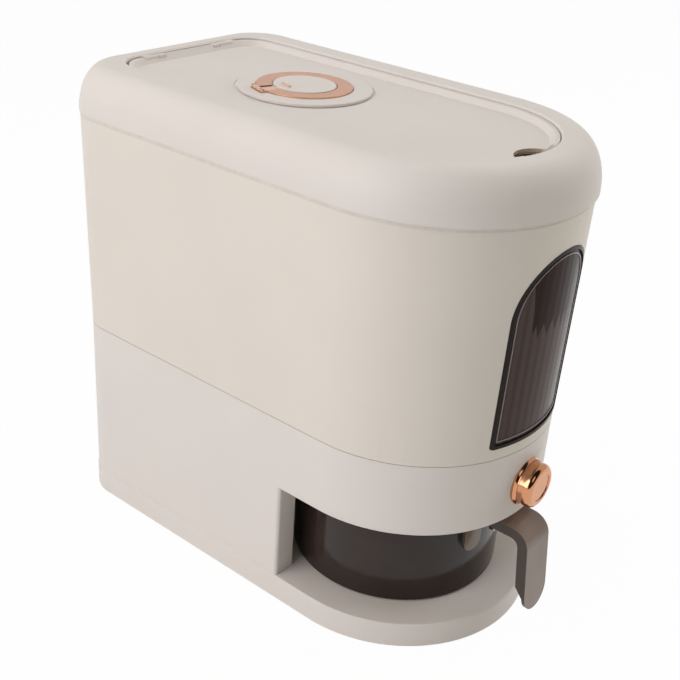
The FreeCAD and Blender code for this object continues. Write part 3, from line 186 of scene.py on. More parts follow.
@dataclass(frozen=True)
class Noise:
    """Noise on a piece's own coordinates.

    Attributes:
        scale: features per metre.
        detail: octaves.
        roughness: weight of the finer octaves.
        stretch: scale of the coordinates along each axis.
    """

    scale: float
    detail: float = 3.0
    roughness: float = 0.5
    stretch: Point | None = None


class NodeSheet(Nodes):
    """A material's node tree with the steps that the finishes share."""

    def __init__(self, name: str) -> None:
        """Starts a material with one Principled shader.

        Args:
            name: the material's name.
        """
        self.material = bpy.data.materials.new(name)
        self.material.use_nodes = True
        super().__init__(self.material.node_tree)
        self.shader = self.tree.nodes["Principled BSDF"]
        self.place = self.add("ShaderNodeTexCoord").outputs["Object"]

    def noise(self, pattern: Noise) -> Socket:
        """Adds a noise pattern.

        Args:
            pattern: its sizes.

        Returns:
            The pattern's value, from 0 to 1.
        """
        place = self.place
        if pattern.stretch:
            place = self.out("ShaderNodeMapping", Vector=place, Scale=pattern.stretch)
        return self.out("ShaderNodeTexNoise", Vector=place, Scale=pattern.scale, Detail=pattern.detail,
                        Roughness=pattern.roughness)

    def spread(self, value: Socket, low: float, high: float, start: float = 0.3, end: float = 0.7) -> Socket:
        """Maps a pattern to a range.

        Args:
            value: the pattern's socket.
            low: result at the start.
            high: result at the end.
            start: the pattern's value that gives low.
            end: the pattern's value that gives high.

        Returns:
            The mapped socket.
        """
        return self.out("ShaderNodeMapRange", Value=value, From_Min=start, From_Max=end,
                        To_Min=low, To_Max=high)

    def tint(self, value: Socket, dark: Color, light: Color, start: float = 0.3, end: float = 0.7) -> None:
        """Colours the shader by a pattern.

        Args:
            value: the pattern's socket.
            dark: colour at the start.
            light: colour at the end.
            start: the pattern's value that gives dark.
            end: the pattern's value that gives light.
        """
        ramp = self.add("ShaderNodeValToRGB", Fac=value)
        for stop, place, color in zip(ramp.color_ramp.elements, (start, end), (dark, light)):
            stop.position, stop.color = place, color + OPAQUE
        self.dress(Base_Color=ramp.outputs["Color"])

    def relief(self, value: Socket, depth: float) -> None:
        """Bumps the surface by a pattern.

        Args:
            value: the pattern's socket.
            depth: depth of the relief in metres.
        """
        self.dress(Normal=self.out("ShaderNodeBump", Height=value, Strength=1.0, Distance=depth))

    def dress(self, **entries: Value) -> None:
        """Feeds the shader.

        Args:
            **entries: sockets or values of its inputs; underscores in the names stand for spaces.
        """
        for name, value in entries.items():
            self.feed(self.shader.inputs[name.replace("_", " ")], value)


# --- finishes -------------------------------------------------------------------------------------


def shade(color: Color, factor: float) -> Color:
    """Makes a colour lighter or darker.

    Args:
        color: the colour.
        factor: what its channels are multiplied by.

    Returns:
        The new colour.
    """
    return tuple(min(1.0, channel * factor) for channel in color)


@dataclass(frozen=True)
class Finish:
    """Surface whose colour, roughness and relief each follow a noise pattern.

    Attributes:
        name: material name.
        dark: darkest linear colour.
        light: lightest linear colour.
        smooth: lowest roughness.
        rough: highest roughness.
        depth: depth of the relief in metres.
        tones: pattern of the colour.
        smears: pattern of the roughness.
        grain: pattern of the relief.
        extras: other inputs of the shader.
    """

    name: str
    dark: Color
    light: Color
    smooth: float
    rough: float
    depth: float
    tones: Noise
    smears: Noise
    grain: Noise
    extras: dict[str, float]

    def build(self) -> bpy.types.Material:
        """Makes the material.

        Returns:
            The material.
        """
        sheet = NodeSheet(self.name)
        sheet.tint(sheet.noise(self.tones), self.dark, self.light)
        sheet.relief(sheet.noise(self.grain), self.depth)
        sheet.dress(Roughness=sheet.spread(sheet.noise(self.smears), self.smooth, self.rough), **self.extras)
        return sheet.material


def moulded(name: str, color: Color, roughness: float, gloss: float = 0.4) -> Finish:
    """Injection-moulded plastic with a fine spark-eroded texture.

    Args:
        name: material name.
        color: linear base colour.
        roughness: mean roughness.
        gloss: how strongly its skin mirrors; 0.5 is a plain plastic.

    Returns:
        The finish.
    """
    drift, swing = 0.012, 0.04
    dark, light = shade(color, 1 - drift), shade(color, 1 + drift)
    return Finish(name, dark, light, roughness - swing, roughness + swing, depth=0.000012,
                  tones=Noise(14.0, 2.0), smears=Noise(60.0), grain=Noise(1400.0, 2.0, 0.6),
                  extras={"Specular_IOR_Level": gloss, "IOR": 1.5})


def smoked(name: str, color: Color, lift: Color, roughness: float, clear: float = 0.0,
           gloss: float = 0.5) -> Finish:
    """Smoked plastic with a glossy skin and the slow waves of its moulding.

    Args:
        name: material name.
        color: linear colour of the depth.
        lift: linear colour of its lighter patches.
        roughness: surface roughness.
        clear: share of the light that passes through.
        gloss: how strongly its skin mirrors; 0.5 is a plain plastic.

    Returns:
        The finish.
    """
    return Finish(name, color, lift, 0.7 * roughness, 1.5 * roughness,
                  depth=0.00006, tones=Noise(22.0, 2.0), smears=Noise(90.0), grain=Noise(30.0, 1.0),
                  extras={"Specular_IOR_Level": gloss, "IOR": 1.5, "Transmission_Weight": clear})


def plated(name: str, color: Color, roughness: float, swing: float = 0.05) -> Finish:
    """Plated metal, mirror or satin, with fine polishing lines.

    Args:
        name: material name.
        color: linear reflection colour.
        roughness: mean roughness.
        swing: how much the roughness varies.

    Returns:
        The finish.
    """
    return Finish(name, shade(color, 0.97), shade(color, 1.02), roughness - swing, roughness + swing,
                  depth=0.000004, tones=Noise(120.0, 2.0), smears=Noise(300.0),
                  grain=Noise(900.0, 2.0, 0.5, (1.0, 1.0, 6.0)), extras={"Metallic": 1.0})


def silicone(name: str, color: Color, roughness: float = 0.6) -> Finish:
    """Soft silicone or rubber.

    Args:
        name: material name.
        color: linear colour.
        roughness: mean roughness.

    Returns:
        The finish.
    """
    swing = 0.06
    return Finish(name, shade(color, 0.94), shade(color, 1.05), roughness - swing, roughness + swing,
                  depth=0.00002, tones=Noise(200.0), smears=Noise(150.0), grain=Noise(900.0),
                  extras={"Sheen_Weight": 0.15, "Sheen_Roughness": 0.4})


@dataclass(frozen=True)
class ReededSmoke:
    """Smoked window sheet: smooth outside, upright reeds on its inner face, painted shade over its upper part
    and faint painted light streaks along the reeds.

    Attributes:
        name: material name.
        low: linear colour of the lower part, painted as lit where the reeds catch the light.
        high: linear colour of the upper part, a painted shade that stands in for the bin's shaded inside.
        stripes: how dark and how light the reeds' painted light streaks are.
        axis_y: y of the axis that the reeds stand round.
        pitch: angle from reed to reed, in radians.
        edge: height at which the painted shade starts.
        blur: how far its edge fades up and down.
        tooth: how far its edge runs up and down from reed to reed.
        wobble: how far a tooth may stand off its reed, as a share of the pitch.
        shoulder: how far left of the middle the edge starts to rise.
        flank: how much higher it lies towards the left side, per metre.
        depth: relief of the reeds in metres.
        gloss: how strongly its skin mirrors; 0.5 is a plain plastic.
    """

    name: str
    low: Color = (0.082, 0.056, 0.053)
    high: Color = (0.027, 0.011, 0.009)
    stripes: tuple[float, float] = (0.82, 1.15)
    axis_y: float = -0.064
    pitch: float = math.radians(4.3)
    edge: float = 0.2445
    blur: float = 0.0012
    tooth: float = 0.010
    wobble: float = 0.25
    shoulder: float = 0.022
    flank: float = 6.0
    depth: float = 0.00006
    gloss: float = 0.05

    def build(self) -> bpy.types.Material:
        """Makes the material.

        Returns:
            The material.
        """
        sheet = NodeSheet(self.name)
        x, y, z = sheet.add("ShaderNodeSeparateXYZ", Vector=sheet.place).outputs
        # The darker upper part, with its toothed edge that rises to the left, is painted shade for the bin's
        # shaded inside seen through the sheet; the lower part is painted as lit.
        turn = sheet.math("ARCTAN2", x, sheet.math("SUBTRACT", self.axis_y, y))
        turn = sheet.math("DIVIDE", turn, self.pitch)
        wobble = sheet.spread(sheet.noise(Noise(34.0, 0.0)), -self.wobble, self.wobble)
        saw = sheet.math("PINGPONG", sheet.math("ADD", turn, wobble), 0.5)
        left = sheet.math("MAXIMUM", sheet.math("MULTIPLY", x, -1.0), self.shoulder)
        height = sheet.math("SUBTRACT", z, sheet.math("MULTIPLY", left, self.flank))
        height = sheet.math("SUBTRACT", height, sheet.math("MULTIPLY", saw, 2 * self.tooth))
        start = self.edge - self.shoulder * self.flank - self.tooth
        share = sheet.spread(height, 0.0, 1.0, start - self.blur, start + self.blur)
        # The reeds' lighter and darker streaks in the colour are painted light; the same ripple also bumps
        # the surface.
        ripple = sheet.math("ABSOLUTE", sheet.math("SINE", sheet.math("MULTIPLY", turn, math.pi)))
        painted_streak = sheet.blend(ripple, *(shade(self.low, level) + OPAQUE for level in self.stripes))
        sheet.relief(ripple, self.depth)
        sheet.dress(Base_Color=sheet.blend(share, painted_streak, self.high + OPAQUE),
                    Roughness=sheet.spread(sheet.noise(Noise(90.0)), 0.16, 0.24),
                    Specular_IOR_Level=self.gloss, IOR=1.5)
        return sheet.material


AnyFinish = Finish | ReededSmoke

CREAM = moulded("cream_shell_plastic", (0.74, 0.678, 0.65), 0.5)
IVORY = moulded("ivory_body_plastic", (0.745, 0.682, 0.626), 0.5)
# Dark brown painted shade for the scoop under the finger notch.
PAINTED_SCOOP_SHADE = moulded("scoop_painted_shade", (0.15, 0.105, 0.06), 0.6, gloss=0.1)
# Brown painted shade for the wall of the finger notch.
PAINTED_NOTCH_SHADE = moulded("notch_painted_shade", (0.62, 0.48, 0.34), 0.6, gloss=0.1)
INNER = moulded("white_inner_plastic", (0.78, 0.77, 0.74), 0.5)
BEZEL = moulded("dark_bezel_plastic", (0.020, 0.013, 0.012), 0.25, gloss=0.1)
# Light grey bead colour, a painted highlight of the window frame's inner edge.
PAINTED_HIGHLIGHT_BEAD = moulded("bead_painted_highlight", (0.26, 0.22, 0.215), 0.2, gloss=0.5)
# Smoked window with painted shade over its upper part and painted light streaks along its reeds.
SHADE_PAINTED_WINDOW = ReededSmoke("smoked_window_painted_shade")
REEDS = smoked("smoked_reed_plastic", (0.030, 0.021, 0.019), (0.042, 0.031, 0.028), 0.10)
CUP = smoked("smoked_cup_plastic", (0.026, 0.016, 0.013), (0.034, 0.022, 0.018), 0.12, gloss=0.28)
HANDLE = smoked("smoked_handle_plastic", (0.265, 0.185, 0.14), (0.295, 0.21, 0.16), 0.14, clear=0.3)
# Dark painted shade for the grip's sideways faces.
PAINTED_GRIP_SIDE_SHADE = smoked("grip_side_painted_shade", (0.048, 0.034, 0.026), (0.060, 0.043, 0.033), 0.12, gloss=0.3)
RING = plated("satin_rose_plating", (0.84, 0.48, 0.33), 0.34, swing=0.04)
CURL = plated("bright_rose_plating", (0.95, 0.62, 0.46), 0.16, swing=0.04)
BUTTON = plated("mirror_rose_plating", (0.64, 0.30, 0.16), 0.11, swing=0.03)
STEEL = plated("drawn_steel", (0.62, 0.62, 0.62), 0.28)
SEAL = silicone("pale_silicone", (0.70, 0.64, 0.585))
FEET = silicone("dark_rubber", (0.02, 0.02, 0.02), 0.75)


# --- meshes ---------------------------------------------------------------------------------------


# Rounding errors of a number stay below this.
ROUNDING = 1e-9
# Corners closer than this, in metres, are one corner.
WELD = 1e-6


def new_object(name: str, mesh: bpy.types.Mesh) -> bpy.types.Object:
    """Links a new object at the origin.

    Args:
        name: its name.
        mesh: the mesh that it holds.

    Returns:
        The object.
    """
    thing = bpy.data.objects.new(name, mesh)
    bpy.context.scene.collection.objects.link(thing)
    return thing


def finished(work: bmesh.types.BMesh, name: str) -> bpy.types.Mesh:
    """Turns the faces of a worked mesh outwards and ends the work.

    Args:
        work: the worked mesh.
        name: the new mesh's name.

    Returns:
        The new mesh.
    """
    bmesh.ops.recalc_face_normals(work, faces=work.faces)
    mesh = bpy.data.meshes.new(name)
    work.to_mesh(mesh)
    work.free()
    return mesh


def frozen(thing: bpy.types.Object) -> bpy.types.Object:
    """Turns the object's modifiers into plain mesh.

    Args:
        thing: an object with live modifiers.

    Returns:
        The same object, with its evaluated mesh and no modifiers.
    """
    bpy.context.view_layer.update()
    graph = bpy.context.evaluated_depsgraph_get()
    mesh = bpy.data.meshes.new_from_object(thing.evaluated_get(graph), preserve_all_data_layers=True,
                                           depsgraph=graph)
    thing.modifiers.clear()
    mesh.name = thing.name
    thing.data = mesh
    return thing


def smooth(mesh: bpy.types.Mesh, angle: float) -> None:
    """Shades the mesh smooth, with sharp edges above an angle in degrees."""
    mesh.polygons.foreach_set("use_smooth", [True] * len(mesh.polygons))
    mesh.set_sharp_from_angle(angle=math.radians(angle))


def lathe(name: str, profile: Profile, centre: Vector, turns: int = 96,
          upright: bool = False) -> bpy.types.Mesh:
    """Turns a closed profile about an axis along Y, or an upright one.

    Args:
        name: the mesh's name.
        profile: (place along the axis, distance from the axis) of each corner, in metres.
        centre: a point on the axis.
        turns: how many facets go round.
        upright: whether the axis runs along Z.

    Returns:
        The turned mesh, its faces pointing outwards.
    """
    work = bmesh.new()
    if upright:
        ring = [work.verts.new((centre.x + radius, centre.y, z)) for z, radius in profile]
    else:
        ring = [work.verts.new((centre.x, y, centre.z + radius)) for y, radius in profile]
    edges = [work.edges.new((ring[i - 1], ring[i])) for i in range(len(ring))]
    bmesh.ops.spin(work, geom=ring + edges, cent=centre, axis=(0, 0, 1) if upright else (0, 1, 0),
                   dvec=(0, 0, 0), angle=2 * math.pi, steps=turns, use_merge=True)
    bmesh.ops.remove_doubles(work, verts=work.verts, dist=WELD)
    return finished(work, name)


def quarter(y: float, radius: float, reach: float, start: float, end: float, steps: int) -> Profile:
    """Points of a rounded edge in a lathe's profile.

    Args:
        y: the arc's centre along the axis.
        radius: the arc's centre away from the axis.
        reach: the arc's own radius.
        start: first direction in degrees; 0 points away from the axis, 90 to the front.
        end: last direction in degrees.
        steps: how many pieces the arc has.

    Returns:
        The (y, distance from the axis) of its points.
    """
    angles = (math.radians(start + (end - start) * i / steps) for i in range(steps + 1))
    return [(y - reach * math.sin(angle), radius + reach * math.cos(angle)) for angle in angles]


class Recipe(Nodes):
    """A Geometry Nodes tree with named inputs, which makes one piece."""

    def __init__(self, name: str) -> None:
        """Starts an empty tree.

        Args:
            name: the tree's name and the piece's.
        """
        super().__init__(bpy.data.node_groups.new(name, "GeometryNodeTree"))
        self.name = name
        self.tree.interface.new_socket("Geometry", in_out="OUTPUT", socket_type="NodeSocketGeometry")
        self.entry = self.add("NodeGroupInput")
        self.exit = self.add("NodeGroupOutput")
        self.sizes: dict[str, float] = {}

    def size(self, name: str, value: float) -> Socket:
        """Adds a named input.

        Args:
            name: the input's name.
            value: its value; a whole number makes a whole-number input.

        Returns:
            The input's socket inside the tree.
        """
        kind = "NodeSocketInt" if isinstance(value, int) else "NodeSocketFloat"
        item = self.tree.interface.new_socket(name, in_out="INPUT", socket_type=kind)
        self.sizes[item.identifier] = value
        return self.entry.outputs[name]

    def given(self) -> Socket:
        """Adds the mesh that the tree works on, which has to be its first input, and returns its socket."""
        self.tree.interface.new_socket("Path", in_out="INPUT", socket_type="NodeSocketGeometry")
        return self.entry.outputs["Path"]

    def tube(self, curve: Socket, radius: Socket, sides: int, caps: bool = True) -> Socket:
        """Runs a round section along a curve.

        Args:
            curve: the curve's socket.
            radius: the section's radius.
            sides: how many flats the section has.
            caps: whether its ends are closed.

        Returns:
            The tube's socket.
        """
        section = self.out("GeometryNodeCurvePrimitiveCircle", Resolution=sides, Radius=radius)
        return self.out("GeometryNodeCurveToMesh", Curve=curve, Profile_Curve=section, Fill_Caps=caps)

    def make(self, geometry: Socket, material: bpy.types.Material, angle: float,
             start: bpy.types.Mesh | None = None) -> bpy.types.Object:
        """Runs the tree.

        Args:
            geometry: the socket that carries the finished geometry.
            material: its material.
            angle: facets that meet below this angle, in degrees, are shaded as one surface.
            start: the mesh that it works on, if any.

        Returns:
            A plain mesh object.
        """
        solid = self.out("GeometryNodeRealizeInstances", Geometry=geometry)
        dressed = self.out("GeometryNodeSetMaterial", Geometry=solid, Material=material)
        self.feed(self.exit.inputs[0], dressed)
        thing = new_object(self.name, start or bpy.data.meshes.new(self.name))
        modifier = thing.modifiers.new("recipe", "NODES")
        modifier.node_group = self.tree
        for identifier, value in self.sizes.items():
            modifier[identifier] = value
        smooth(frozen(thing).data, angle)
        return thing


# Corners of a solid's triangles closer than this, in metres, are one corner.
SOLID_WELD = 2e-6
# Triangles that meet below this angle are parts of one flat face.
FLAT_ANGLE = math.radians(0.4)
# Edges sharper than this angle are softened, in so many steps.
SOFT_ANGLE = math.radians(38)
SOFT_STEPS = 2


class Workshop:
    """The frame, the finishes in use, and the calls that turn meshes into pieces of the object."""

    def __init__(self, frame: dict) -> None:
        """Keeps the frame.

        Args:
            frame: the loaded frame.
        """
        self.frame = frame
        self.shelf: dict[str, bpy.types.Material] = {}

    def finish(self, finish: AnyFinish) -> bpy.types.Material:
        """Finds the material of a finish, which is built once.

        Args:
            finish: the finish.

        Returns:
            Its material.
        """
        if finish.name not in self.shelf:
            self.shelf[finish.name] = finish.build()
        return self.shelf[finish.name]

    def box(self, node: str) -> tuple[Vector, Vector]:
        """Lowest and highest corner of a node at rest."""
        low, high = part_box(node)
        return Vector(low), Vector(high)

    def coat(self, thing: bpy.types.Object, finish: AnyFinish) -> None:
        """Gives an object one finish all over."""
        thing.data.materials.clear()
        thing.data.materials.append(self.finish(finish))

    def paint(self, node: str, finish: AnyFinish) -> None:
        """Gives a node that keeps its shape its finish.

        Args:
            node: the node.
            finish: its finish.
        """
        self.coat(self.frame["nodes"][node], finish)
        LOG.info("%s keeps its shape, finish %s", node, finish.name)

    def piece(self, thing: bpy.types.Object, body: Body, finish: AnyFinish, slot: str,
              node: str = "") -> bpy.types.Object:
        """Makes an object a piece of the dispenser.

        Args:
            thing: the finished object.
            body: the body it rides on.
            finish: its finish.
            slot: the record's material slot; not used.
            node: the node it stands for, if any.

        Returns:
            The same object.
        """
        self.coat(thing, finish)
        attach(thing, body.value)
        if node:
            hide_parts(node)
        LOG.info("%s has %d faces, rides on %s", thing.name, len(thing.data.polygons), body.value)
        return thing

    def skin(self, node: str, body: Body, finish: AnyFinish, slot: str, edge: float, angle: float = 28.0,
             shape: Callable[[bmesh.types.BMesh], None] | None = None,
             cuts: tuple[bpy.types.Mesh, ...] = ()) -> bpy.types.Object:
        """A smooth copy of a node with softened edges, which stands for the node.

        Args:
            node: the node.
            body: the body it rides on.
            finish: its finish.
            slot: the record's material slot.
            edge: width of the softened edges.
            angle: facets that meet below this angle, in degrees, are shaded as one surface.
            shape: changes the merged mesh before its edges are softened.
            cuts: closed meshes that are cut out of it.

        Returns:
            The finished object.
        """
        mesh = self.frame["nodes"][node].data.copy()
        mesh.name = f"{node}_skin"
        work = bmesh.new()
        work.from_mesh(mesh)
        bmesh.ops.remove_doubles(work, verts=work.verts, dist=SOLID_WELD)
        bmesh.ops.dissolve_limit(work, angle_limit=FLAT_ANGLE, verts=work.verts, edges=work.edges)
        if shape is not None:
            shape(work)
        work.to_mesh(mesh)
        work.free()
        if mesh.has_custom_normals:
            mesh.normals_split_custom_set([(0.0, 0.0, 0.0)] * len(mesh.loops))
        thing = new_object(mesh.name, mesh)
        for number, tool_mesh in enumerate(cuts):
            tool = new_object(f"{node}_cut_{number}", tool_mesh)
            cut = thing.modifiers.new("cut", "BOOLEAN")
            cut.operation, cut.solver, cut.object = "DIFFERENCE", "EXACT", tool
            frozen(thing)
            bpy.data.objects.remove(tool)
        smooth(thing.data, angle)
        bevel = thing.modifiers.new("soft_edges", "BEVEL")
        bevel.width, bevel.segments = edge, SOFT_STEPS
        bevel.limit_method, bevel.angle_limit = "ANGLE", SOFT_ANGLE
        bevel.use_clamp_overlap = True
        thing.modifiers.new("flat_faces", "WEIGHTED_NORMAL").keep_sharp = True
        frozen(thing)
        return self.piece(thing, body, finish, slot, node)


# --- sub-assemblies -------------------------------------------------------------------------------


def accent(thing: bpy.types.Object, material: bpy.types.Material, chosen: Choice) -> None:
    """Gives some faces of a finished piece a second material.

    Args:
        thing: the piece.
        material: the second material.
        chosen: says from a face's centre and its direction whether it gets the material.
    """
    mesh = thing.data
    mesh.materials.append(material)
    for face in mesh.polygons:
        if chosen(face.center, face.normal):
            face.material_index = 1


@dataclass
class Stand:
    """Base plate with its rubber feet, and the moulding that carries the bay, the column and the band.

    Attributes:
        shop: the workshop.
        edge: width of the mouldings' softened edges.
    """

    shop: Workshop
    edge: float = 0.0005

    def build(self) -> None:
        """Dresses the stand."""
        self.shop.skin("base_plate", Body.HOUSING, CREAM, "cream_plastic", self.edge)
        self.shop.skin("lower_housing", Body.HOUSING, CREAM, "ivory_plastic", self.edge)
        self.shop.paint("foot_pads", FEET)


@dataclass
class Bin:
    """Flared bin shell, the funnel in it and the strip under the lid.

    Attributes:
        shop: the workshop.
        edge: width of the shell's softened edges.
        seam: height of the open line between the shell and the moulding under it.
    """

    shop: Workshop
    edge: float = 0.0003
    seam: float = 0.0010

    def open_seam(self, work: bmesh.types.BMesh) -> None:
        """Lifts the shell's lower edge off the moulding under it, so that the joint shows as a line.

        Args:
            work: the shell's mesh.
        """
        foot = self.shop.box("lower_housing")[1].z
        for vertex in work.verts:
            if abs(vertex.co.z - foot) < self.seam / 2:
                vertex.co.z += self.seam

    def build(self) -> None:
        """Dresses the bin."""
        self.shop.skin("upper_housing", Body.HOUSING, IVORY, "ivory_plastic", self.edge, shape=self.open_seam)
        self.shop.paint("lid_seal", SEAL)
        self.shop.paint("hopper", INNER)


@dataclass
class Window:
    """Arched window: dark frame, smoked sheet that follows the bin's leaning front, reeds on the rice side,
    and a light bead as a painted highlight on the frame's inner edge.

    Attributes:
        shop: the workshop.
        flare: how much the bin's radius grows from its lower edge to its rim.
        sink: how far the sheet lies behind the bin's face.
        sheet: the sheet's thickness.
        reed: radius of a reed.
        pitch: angle from reed to reed, in radians.
        columns: how many strips the sheet is divided into from side to side.
        rows: how many strips it is divided into upwards.
        bead_radius: radius of the light bead round the sheet, a painted highlight of the frame's inner edge.
        bead_inset: how far inside the sheet's edge it runs.
        bead_steps: how many pieces each straight side of the bead has.
        edge: width of the frame's softened edges.
    """

    shop: Workshop
    flare: float = 0.00275
    sink: float = 0.0010
    sheet: float = 0.0022
    reed: float = 0.0020
    pitch: float = math.radians(4.3)
    columns: int = 56
    rows: int = 18
    bead_radius: float = 0.0005
    bead_inset: float = 0.0025
    bead_steps: int = 24
    edge: float = 0.0003

    def __post_init__(self) -> None:
        """Reads the bin's and the pane's sizes from the frame."""
        shell_low, shell_high = self.shop.box("upper_housing")
        self.low, self.high = self.shop.box("window_pane")
        self.half = self.high.x
        self.spring = self.high.z - self.half
        self.shell_top, self.shell_bottom = shell_high.z, shell_low.z
        self.rim_radius = shell_high.x
        self.axis_y = shell_low.y + self.rim_radius

    def radius(self, z: float) -> float:
        """The bin's outer radius round the nose at a height."""
        drop = (self.shell_top - z) / (self.shell_top - self.shell_bottom)
        return self.rim_radius - self.flare * drop

    def arch(self, x: float) -> float:
        """The window's upper edge at a distance from its middle."""
        return self.spring + math.sqrt(max(0.0, self.half * self.half - x * x))

    def on_face(self, x: float, z: float, behind: float) -> Point:
        """A point at a depth behind the bin's face."""
        radius = self.radius(z) - behind
        return x, self.axis_y - math.sqrt(radius * radius - x * x), z

    def sheet_mesh(self) -> bpy.types.Mesh:
        """Makes the smoked sheet with its arched top, closed on all sides.

        Returns:
            The sheet's mesh.
        """
        turns = (math.radians(-90 + 180 * i / self.columns) for i in range(self.columns + 1))
        across = [self.half * math.sin(turn) for turn in turns]
        work = bmesh.new()
        faces = []
        for behind in (self.sink, self.sink + self.sheet):
            grid = []
            for x in across:
                top = self.arch(x)
                levels = (self.low.z + (top - self.low.z) * j / self.rows for j in range(self.rows + 1))
                grid.append([work.verts.new(self.on_face(x, z, behind)) for z in levels])
            faces.append(grid)
        front, back = faces
        for grid in faces:
            for left, right in zip(grid, grid[1:]):
                for j in range(self.rows):
                    work.faces.new((left[j], right[j], right[j + 1], left[j + 1]))
        rims = [[[column[end] for column in grid] for grid in faces] for end in (0, -1)]
        rims += [(front[0], back[0]), (front[-1], back[-1])]
        for outer, inner in rims:
            for j in range(len(outer) - 1):
                work.faces.new((outer[j], inner[j], inner[j + 1], outer[j + 1]))
        mesh = finished(work, "window_sheet")
        smooth(mesh, 40)
        return mesh

    def reeds(self) -> bpy.types.Object:
        """Makes the upright rods behind the sheet, one per pitch, each as high as the arch allows.

        Returns:
            The rods as one object.
        """
        recipe = Recipe("window_reeds")
        widest = math.asin((self.half - 2 * self.reed) / self.rim_radius)
        count = recipe.size("Reeds", 2 * int(widest / self.pitch) + 1)
        pitch = recipe.size("Pitch", self.pitch)
        foot_radius = recipe.size("Nose radius", self.radius(self.low.z) - self.sink - self.sheet)
        lean = recipe.size("Lean", math.atan(self.flare / (self.shell_top - self.shell_bottom)))
        sill = recipe.size("Sill", self.low.z + self.reed)
        spring = recipe.size("Arch spring", self.spring - self.reed)
        half = recipe.size("Arch radius", self.half - self.reed)
        axis = recipe.size("Axis", self.axis_y)
        reed = recipe.size("Reed radius", self.reed)
        index = recipe.out("GeometryNodeInputIndex")
        middle = recipe.math("DIVIDE", recipe.math("SUBTRACT", count, 1.0), 2.0)
        turn = recipe.math("MULTIPLY", recipe.math("SUBTRACT", index, middle), pitch)
        x = recipe.math("MULTIPLY", foot_radius, recipe.math("SINE", turn))
        y = recipe.math("SUBTRACT", axis, recipe.math("MULTIPLY", foot_radius, recipe.math("COSINE", turn)))
        square = recipe.math("SUBTRACT", recipe.math("MULTIPLY", half, half), recipe.math("MULTIPLY", x, x))
        length = recipe.math("SUBTRACT", recipe.math("ADD", spring, recipe.math("SQRT", square)), sill)
        points = recipe.out("GeometryNodePoints", Count=count,
                             Position=recipe.out("ShaderNodeCombineXYZ", X=x, Y=y, Z=sill))
        rod = recipe.tube(recipe.out("GeometryNodeCurvePrimitiveLine", End=(0.0, 0.0, 1.0)), reed, 12)
        stood = recipe.out("GeometryNodeInstanceOnPoints", Points=points, Instance=rod,
                            Rotation=recipe.out("ShaderNodeCombineXYZ", X=lean, Z=turn),
                            Scale=recipe.out("ShaderNodeCombineXYZ", X=1.0, Y=1.0, Z=length))
        return recipe.make(stood, self.shop.finish(REEDS), 50)

    def bead_path(self) -> Profile:
        """Finds the corners of the bead's path round the sheet.

        Returns:
            The (distance from the window's middle, height) of each.
        """
        half, sill, spring = self.half - self.bead_inset, self.low.z + self.bead_inset, self.spring
        steps = self.bead_steps
        path = [(-half, sill + (spring - sill) * i / steps) for i in range(steps)]
        for i in range(2 * steps + 1):
            angle = math.pi * i / (2 * steps)
            path.append((-half * math.cos(angle), spring + half * math.sin(angle)))
        path += [(half, spring - (spring - sill) * i / steps) for i in range(1, steps)]
        path += [(half - 2 * half * i / steps, sill) for i in range(steps)]
        return path

    def bead(self) -> bpy.types.Object:
        """Makes the thin light bead that runs round the sheet, just inside the frame, as a painted highlight
        of the frame's inner edge.

        Returns:
            The bead's object.
        """
        path = self.bead_path()
        mesh = bpy.data.meshes.new("window_highlight_bead")
        mesh.from_pydata([self.on_face(x, z, self.sink - self.bead_radius / 2) for x, z in path],
                         [(i, (i + 1) % len(path)) for i in range(len(path))], [])
        recipe = Recipe("window_highlight_bead")
        line = recipe.out("GeometryNodeMeshToCurve", Mesh=recipe.given())
        tube = recipe.tube(line, recipe.size("Bead radius", self.bead_radius), 8, caps=False)
        return recipe.make(tube, self.shop.finish(PAINTED_HIGHLIGHT_BEAD), 80, mesh)

    def build(self) -> None:
        """Makes and dresses the window."""
        self.shop.skin("window_bezel", Body.HOUSING, BEZEL, "bezel_plastic", self.edge)
        sheet = new_object("window_sheet", self.sheet_mesh())
        self.shop.piece(sheet, Body.HOUSING, SHADE_PAINTED_WINDOW, "smoked_window", "window_pane")
        self.shop.piece(self.reeds(), Body.HOUSING, REEDS, "smoked_window")
        # The bead is a painted highlight: a light line where the frame's inner edge catches the light.
        self.shop.piece(self.bead(), Body.HOUSING, PAINTED_HIGHLIGHT_BEAD, "bezel_plastic")


NOTCH_RADIUS = 0.0172


def notch_cutter(shop: Workshop, floor: float, radius: float = NOTCH_RADIUS) -> bpy.types.Mesh:
    """Half-round cutter for the finger notch between flap and lid.

    Args:
        shop: the workshop.
        floor: height of the notch's floor.
        radius: the notch's radius.

    Returns:
        A closed mesh.
    """
    low, high = shop.box("flap")
    steps, inwards, above = 24, 0.0001, 0.004
    angles = [math.pi * i / steps for i in range(steps + 1)]
    outline = [(radius * math.cos(angle), low.y + inwards + radius * math.sin(angle)) for angle in angles]
    work = bmesh.new()
    rings = [[work.verts.new((x, y, z)) for x, y in outline] for z in (floor, high.z + above)]
    work.faces.new(rings[0])
    work.faces.new(rings[1])
    for i in range(-1, steps):
        work.faces.new((rings[0][i], rings[0][i + 1], rings[1][i + 1], rings[1][i]))
    return finished(work, "notch_cutter")


def level_knuckles(work: bmesh.types.BMesh, low: Vector, high: Vector) -> None:
    """Levels the tops of the hinge's knuckles with the top of its pin.

    Args:
        work: the mesh whose knuckles are levelled.
        low: the pin's lowest corner.
        high: the pin's highest corner.
    """
    reach = high.y - low.y
    for vertex in work.verts:
        place = vertex.co
        if low.y - reach < place.y < high.y + reach and low.x <= place.x <= high.x and place.z > high.z:
            place.z = high.z


